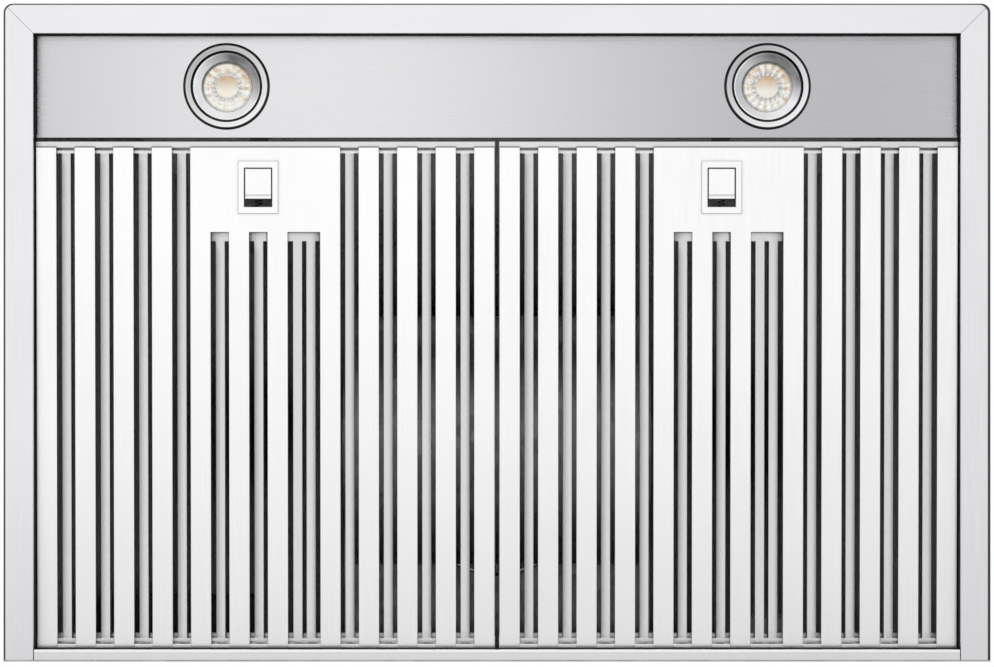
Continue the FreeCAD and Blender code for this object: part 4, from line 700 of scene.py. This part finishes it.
def dress_fittings():
    """The blower's wheels and drive, the electrical pieces, the controls and the small hardware."""
    fine_grain = (400, 400, 400)
    cast_grain = (300, 300, 300)
    black = plastic("black_plastic", (0.035, 0.035, 0.038), 0.5)
    dress(both("fan_wheel"), black)
    dress(["outlet_collar", "cord_gland", "power_box", "power_box_cover"], black)
    dress(["control_bezel"], plastic("bezel_plastic", (0.02, 0.02, 0.022), 0.22))
    dress(["switch_board"], plastic("board_green", (0.03, 0.16, 0.07), 0.4))
    dress(["motor_capacitor"], plastic("white_plastic", (0.80, 0.80, 0.77), 0.4))
    dress(["motor"], metal("motor_alloy", (0.55, 0.56, 0.57), cast_grain, 0.45))
    plated = metal("plated_steel", (0.66, 0.66, 0.67), fine_grain, 0.28, edge_radius=0.3 * MM)
    dress(["blower_screws", "damper_pins", "fan_shaft"], plated)
    dress(both("latch_spring"), metal("spring_steel", (0.03, 0.03, 0.032), fine_grain, 0.4))
    for name in ("fan_off_button", "fan_low_button", "fan_medium_button", "fan_high_button", "light_button"):
        low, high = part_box(name)
        dress([name], spun_button(f"{name}_metal", (low + high) / 2, (high.z - low.z) / 2))


# Lamp lenses


def new_piece(name, mesh_builder, materials):
    """Turn a bmesh into an object of the scene."""
    mesh = bpy.data.meshes.new(name)
    mesh_builder.to_mesh(mesh)
    mesh_builder.free()
    for material in materials:
        mesh.materials.append(material)
    piece = bpy.data.objects.new(name, mesh)
    scene.collection.objects.link(piece)
    return piece


def ring_points(build, centre, radius, z, angles):
    """A level circle of points, one at each angle."""
    places = [(centre.x + radius * math.cos(a), centre.y + radius * math.sin(a), z) for a in angles]
    return [build.verts.new(place) for place in places]


def make_lens(side):
    """A faceted optic: two rows of petals round a domed light source, closed at the back."""
    low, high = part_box(f"{side}_lamp_lens")
    centre = (low + high) / 2
    radius = (high.x - low.x) / 2
    source = 0.45
    petals = 18
    petal_paint = lens_petals(f"{side}_lens_petals", centre, radius)
    materials = [petal_paint, phosphor(f"{side}_lens_phosphor", centre, source * radius)]
    steps = 2 * petals
    angles = [2 * math.pi * i / steps for i in range(steps)]
    valley = 0.9 * MM
    bevel = 0.2 * MM
    build = bmesh.new()
    tint = build.faces.layers.float.new("tint")
    rings = []
    for share, sink in ((source, 0.5), (0.52, 1.0), (0.72, 0.6), (0.76, 1.0), (0.96, 0.8)):
        circle = ring_points(build, centre, radius * share, low.z, angles)
        for vertex in circle[1::2]:
            vertex.co.z = low.z + valley * sink
        rings.append(circle)
    rings.append(ring_points(build, centre, radius, low.z + bevel, angles))
    rings.append(ring_points(build, centre, radius, high.z, angles))
    for row, (inner, outer) in enumerate(zip(rings, rings[1:])):
        for i in range(steps):
            after = (i + 1) % steps
            face = build.faces.new((inner[i], outer[i], outer[after], inner[after]))
            petal = (i + row % 2) // 2
            face[tint] = abs(math.sin(7.3 * petal + 3.1 * row + 1.3 * (i % 2)))
    build.faces.new(rings[-1])
    dome = [rings[0]]
    for share, rise in ((0.43, 0.45), (0.30, 0.2), (0.15, 0.05)):
        dome.append(ring_points(build, centre, radius * share, low.z + rise * valley, angles))
    for inner, outer in zip(dome[1:], dome):
        for i in range(steps):
            after = (i + 1) % steps
            build.faces.new((inner[i], outer[i], outer[after], inner[after])).material_index = 1
    build.faces.new(dome[-1]).material_index = 1
    bmesh.ops.recalc_face_normals(build, faces=build.faces)
    lens = new_piece(f"{side}_lens_optic", build, materials)
    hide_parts(f"{side}_lamp_lens")
    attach(lens, "canopy")


# Small trim, and black strips that stand in for shade


def extrude_section(name, section, start, end, material):
    """A straight bar with the given section of points, from start to end."""
    build = bmesh.new()
    ends = []
    for origin in (start, end):
        ends.append([build.verts.new(Vector(origin) + Vector(point)) for point in section])
    count = len(section)
    for i in range(count):
        after = (i + 1) % count
        build.faces.new((ends[0][i], ends[0][after], ends[1][after], ends[1][i]))
    build.faces.new(ends[0])
    build.faces.new(list(reversed(ends[1])))
    bmesh.ops.recalc_face_normals(build, faces=build.faces)
    return new_piece(name, build, [material])


def make_shade_strips():
    """Black strips on the rim's upturned lips and low on the rear rail's front wall, put where there is only
    shade.
    """
    rail_low, rail_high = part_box("rear_rail")
    panel_low, panel_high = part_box("light_panel")
    panel_rear = panel_high.y - 2 * MM
    side, front = lip_lines()
    set_in = 3.5 * MM
    panel_gap = 0.1 * MM
    thin = 0.18 * MM
    low = set_in
    high = panel_low.z - panel_gap
    rail_top = rail_high.z - set_in

    def profile(top, depth):
        return [(0, low), (depth, low + depth), (1.3 * depth, (low + top) / 2), (depth, top), (0, top)]

    black = shade_strip_matt("lip_shade_black")
    along_panel = ((0, front, 0), (0, panel_rear, 0))
    along_filter = ((0, panel_rear, 0), (0, rail_low.y, 0))
    across = ((-side + 2 * thin, 0, 0), (side - 2 * thin, 0, 0))
    strips = {
        "left_lip_shade": ([(-side + inward, 0, z) for inward, z in profile(high, thin)], along_filter),
        "right_lip_shade": ([(side - inward, 0, z) for inward, z in profile(high, thin)], along_filter),
        "left_panel_lip_shade": ([(-side + inward, 0, z) for inward, z in profile(high, SHADE_STRIP)], along_panel),
        "right_panel_lip_shade": ([(side - inward, 0, z) for inward, z in profile(high, SHADE_STRIP)], along_panel),
        "front_lip_shade": ([(0, front + inward, z) for inward, z in profile(high, SHADE_STRIP)], across),
        "rear_rail_shade": ([(0, rail_low.y - inward, z) for inward, z in profile(rail_top, thin)], across),
    }
    for name, (section, (start, end)) in strips.items():
        piece = extrude_section(name, section, start, end, black)
        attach(piece, "canopy")


def make_latch_beads():
    """The raised finger bead pressed across each latch tongue, near its rear end."""
    # Painted shade darkens the bead's edges.
    steel = metal("latch_bead_steel", STRIP, GRAIN_X, 0.3, edge=0.1, edge_radius=0.4 * MM)
    half = 9.6 * MM
    set_back = 2.8 * MM
    wide = 0.55 * MM
    rise = 0.3 * MM
    for side in ("left", "right"):
        along, up, face, rear = tongue_lie(side)
        low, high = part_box(f"{side}_latch_housing")
        middle = (low.x + high.x) / 2
        lie = along * (rear - set_back) + up * face
        section = [
            lie - along * wide,
            lie - along * (wide / 2) - up * rise,
            lie + along * (wide / 2) - up * rise,
            lie + along * wide,
        ]
        ends = ((middle - half, 0, 0), (middle + half, 0, 0))
        bead = extrude_section(f"{side}_latch_bead", section, *ends, steel)
        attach(bead, f"{side}_latch")


def make_latch_coils():
    """The return springs of the latches, copied onto the filters with meshes of their own; the real springs
    shorten towards their rear ends as the tongues slide back.
    """
    for side in ("left", "right"):
        node = nodes[f"{side}_latch_spring"]
        coil = bpy.data.objects.new(f"{side}_latch_coil", node.data.copy())
        coil.matrix_world = node.matrix_world
        scene.collection.objects.link(coil)
        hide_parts(f"{side}_latch_spring")
        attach(coil, f"{side}_filter")
        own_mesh(coil)


# Stage, light and camera


def make_floor():
    """A wide floor below the camera, which leaves the view of the underside free."""
    size = 60.0
    level = -3.1
    build = bmesh.new()
    lie = Matrix.Translation((0, 0, level))
    bmesh.ops.create_grid(build, x_segments=8, y_segments=8, size=size, matrix=lie)
    floor = new_piece("studio_floor", build, [floor_paint("studio_floor_paint")])


def make_world():
    """White where it is looked at or mirrored, and a soft grey light everywhere else."""
    world = bpy.data.worlds.new("studio")
    scene.world = world
    world.use_nodes = True
    tree = world.node_tree
    tree.nodes.clear()
    white = tree.nodes.new("ShaderNodeBackground")
    white.inputs["Color"].default_value = (1, 1, 1, 1)
    soft = tree.nodes.new("ShaderNodeBackground")
    soft.inputs["Color"].default_value = (0.5, 0.5, 0.5, 1)
    either = tree.nodes.new("ShaderNodeMixShader")
    tree.links.new(looked_at(tree), either.inputs["Fac"])
    tree.links.new(soft.outputs["Background"], either.inputs[1])
    tree.links.new(white.outputs["Background"], either.inputs[2])
    output = tree.nodes.new("ShaderNodeOutputWorld")
    tree.links.new(either.outputs["Shader"], output.inputs["Surface"])


def make_softbox(name, place, target, width, depth, radiance):
    """An even rectangular lamp that faces its target; radiance 1 looks white."""
    lamp = bpy.data.lights.new(name, "AREA")
    lamp.shape = "RECTANGLE"
    lamp.size = width
    lamp.size_y = depth
    lamp.energy = radiance * math.pi * width * depth
    box = bpy.data.objects.new(name, lamp)
    box.location = place
    box.rotation_euler = (Vector(target) - Vector(place)).to_track_quat("-Z", "Y").to_euler()
    box.visible_camera = False
    scene.collection.objects.link(box)


def make_lamps():
    """A large soft lamp below, left of the middle, and two weak ones in front and at the right."""
    hood_middle = (0, -0.25, 0.2)
    under_place = (-0.45, -1.16, -2.8)
    under_target = (-0.45, -1.16, 0)
    make_softbox("under_softbox", under_place, under_target, width=3.4, depth=3.0, radiance=0.62)
    make_softbox("front_softbox", (-1.4, -2.6, 2.2), hood_middle, width=2.4, depth=2.4, radiance=0.18)
    make_softbox("side_softbox", (2.6, -0.8, 1.6), hood_middle, width=1.8, depth=2.4, radiance=0.14)


def make_camera():
    """Straight up from below, with the front of the hood at the top of the picture."""
    distance = 2.4
    picture_width = 0.7554
    middle_y = -0.2493
    lens = bpy.data.cameras.new("photo_camera")
    lens.sensor_fit = "HORIZONTAL"
    lens.lens = lens.sensor_width * distance / picture_width
    lens.dof.use_dof = False
    lens.clip_end = 50.0
    camera = bpy.data.objects.new("photo_camera", lens)
    camera.location = (0, middle_y, -distance)
    camera.rotation_euler = (math.pi, 0, 0)
    scene.collection.objects.link(camera)
    scene.camera = camera


dress_canopy()
dress_filters()
dress_lamps()
dress_fittings()
make_lens("left")
make_lens("right")
make_shade_strips()
make_latch_beads()
make_latch_coils()
make_floor()
make_world()
make_lamps()
make_camera()
scene.view_settings.view_transform = "Standard"
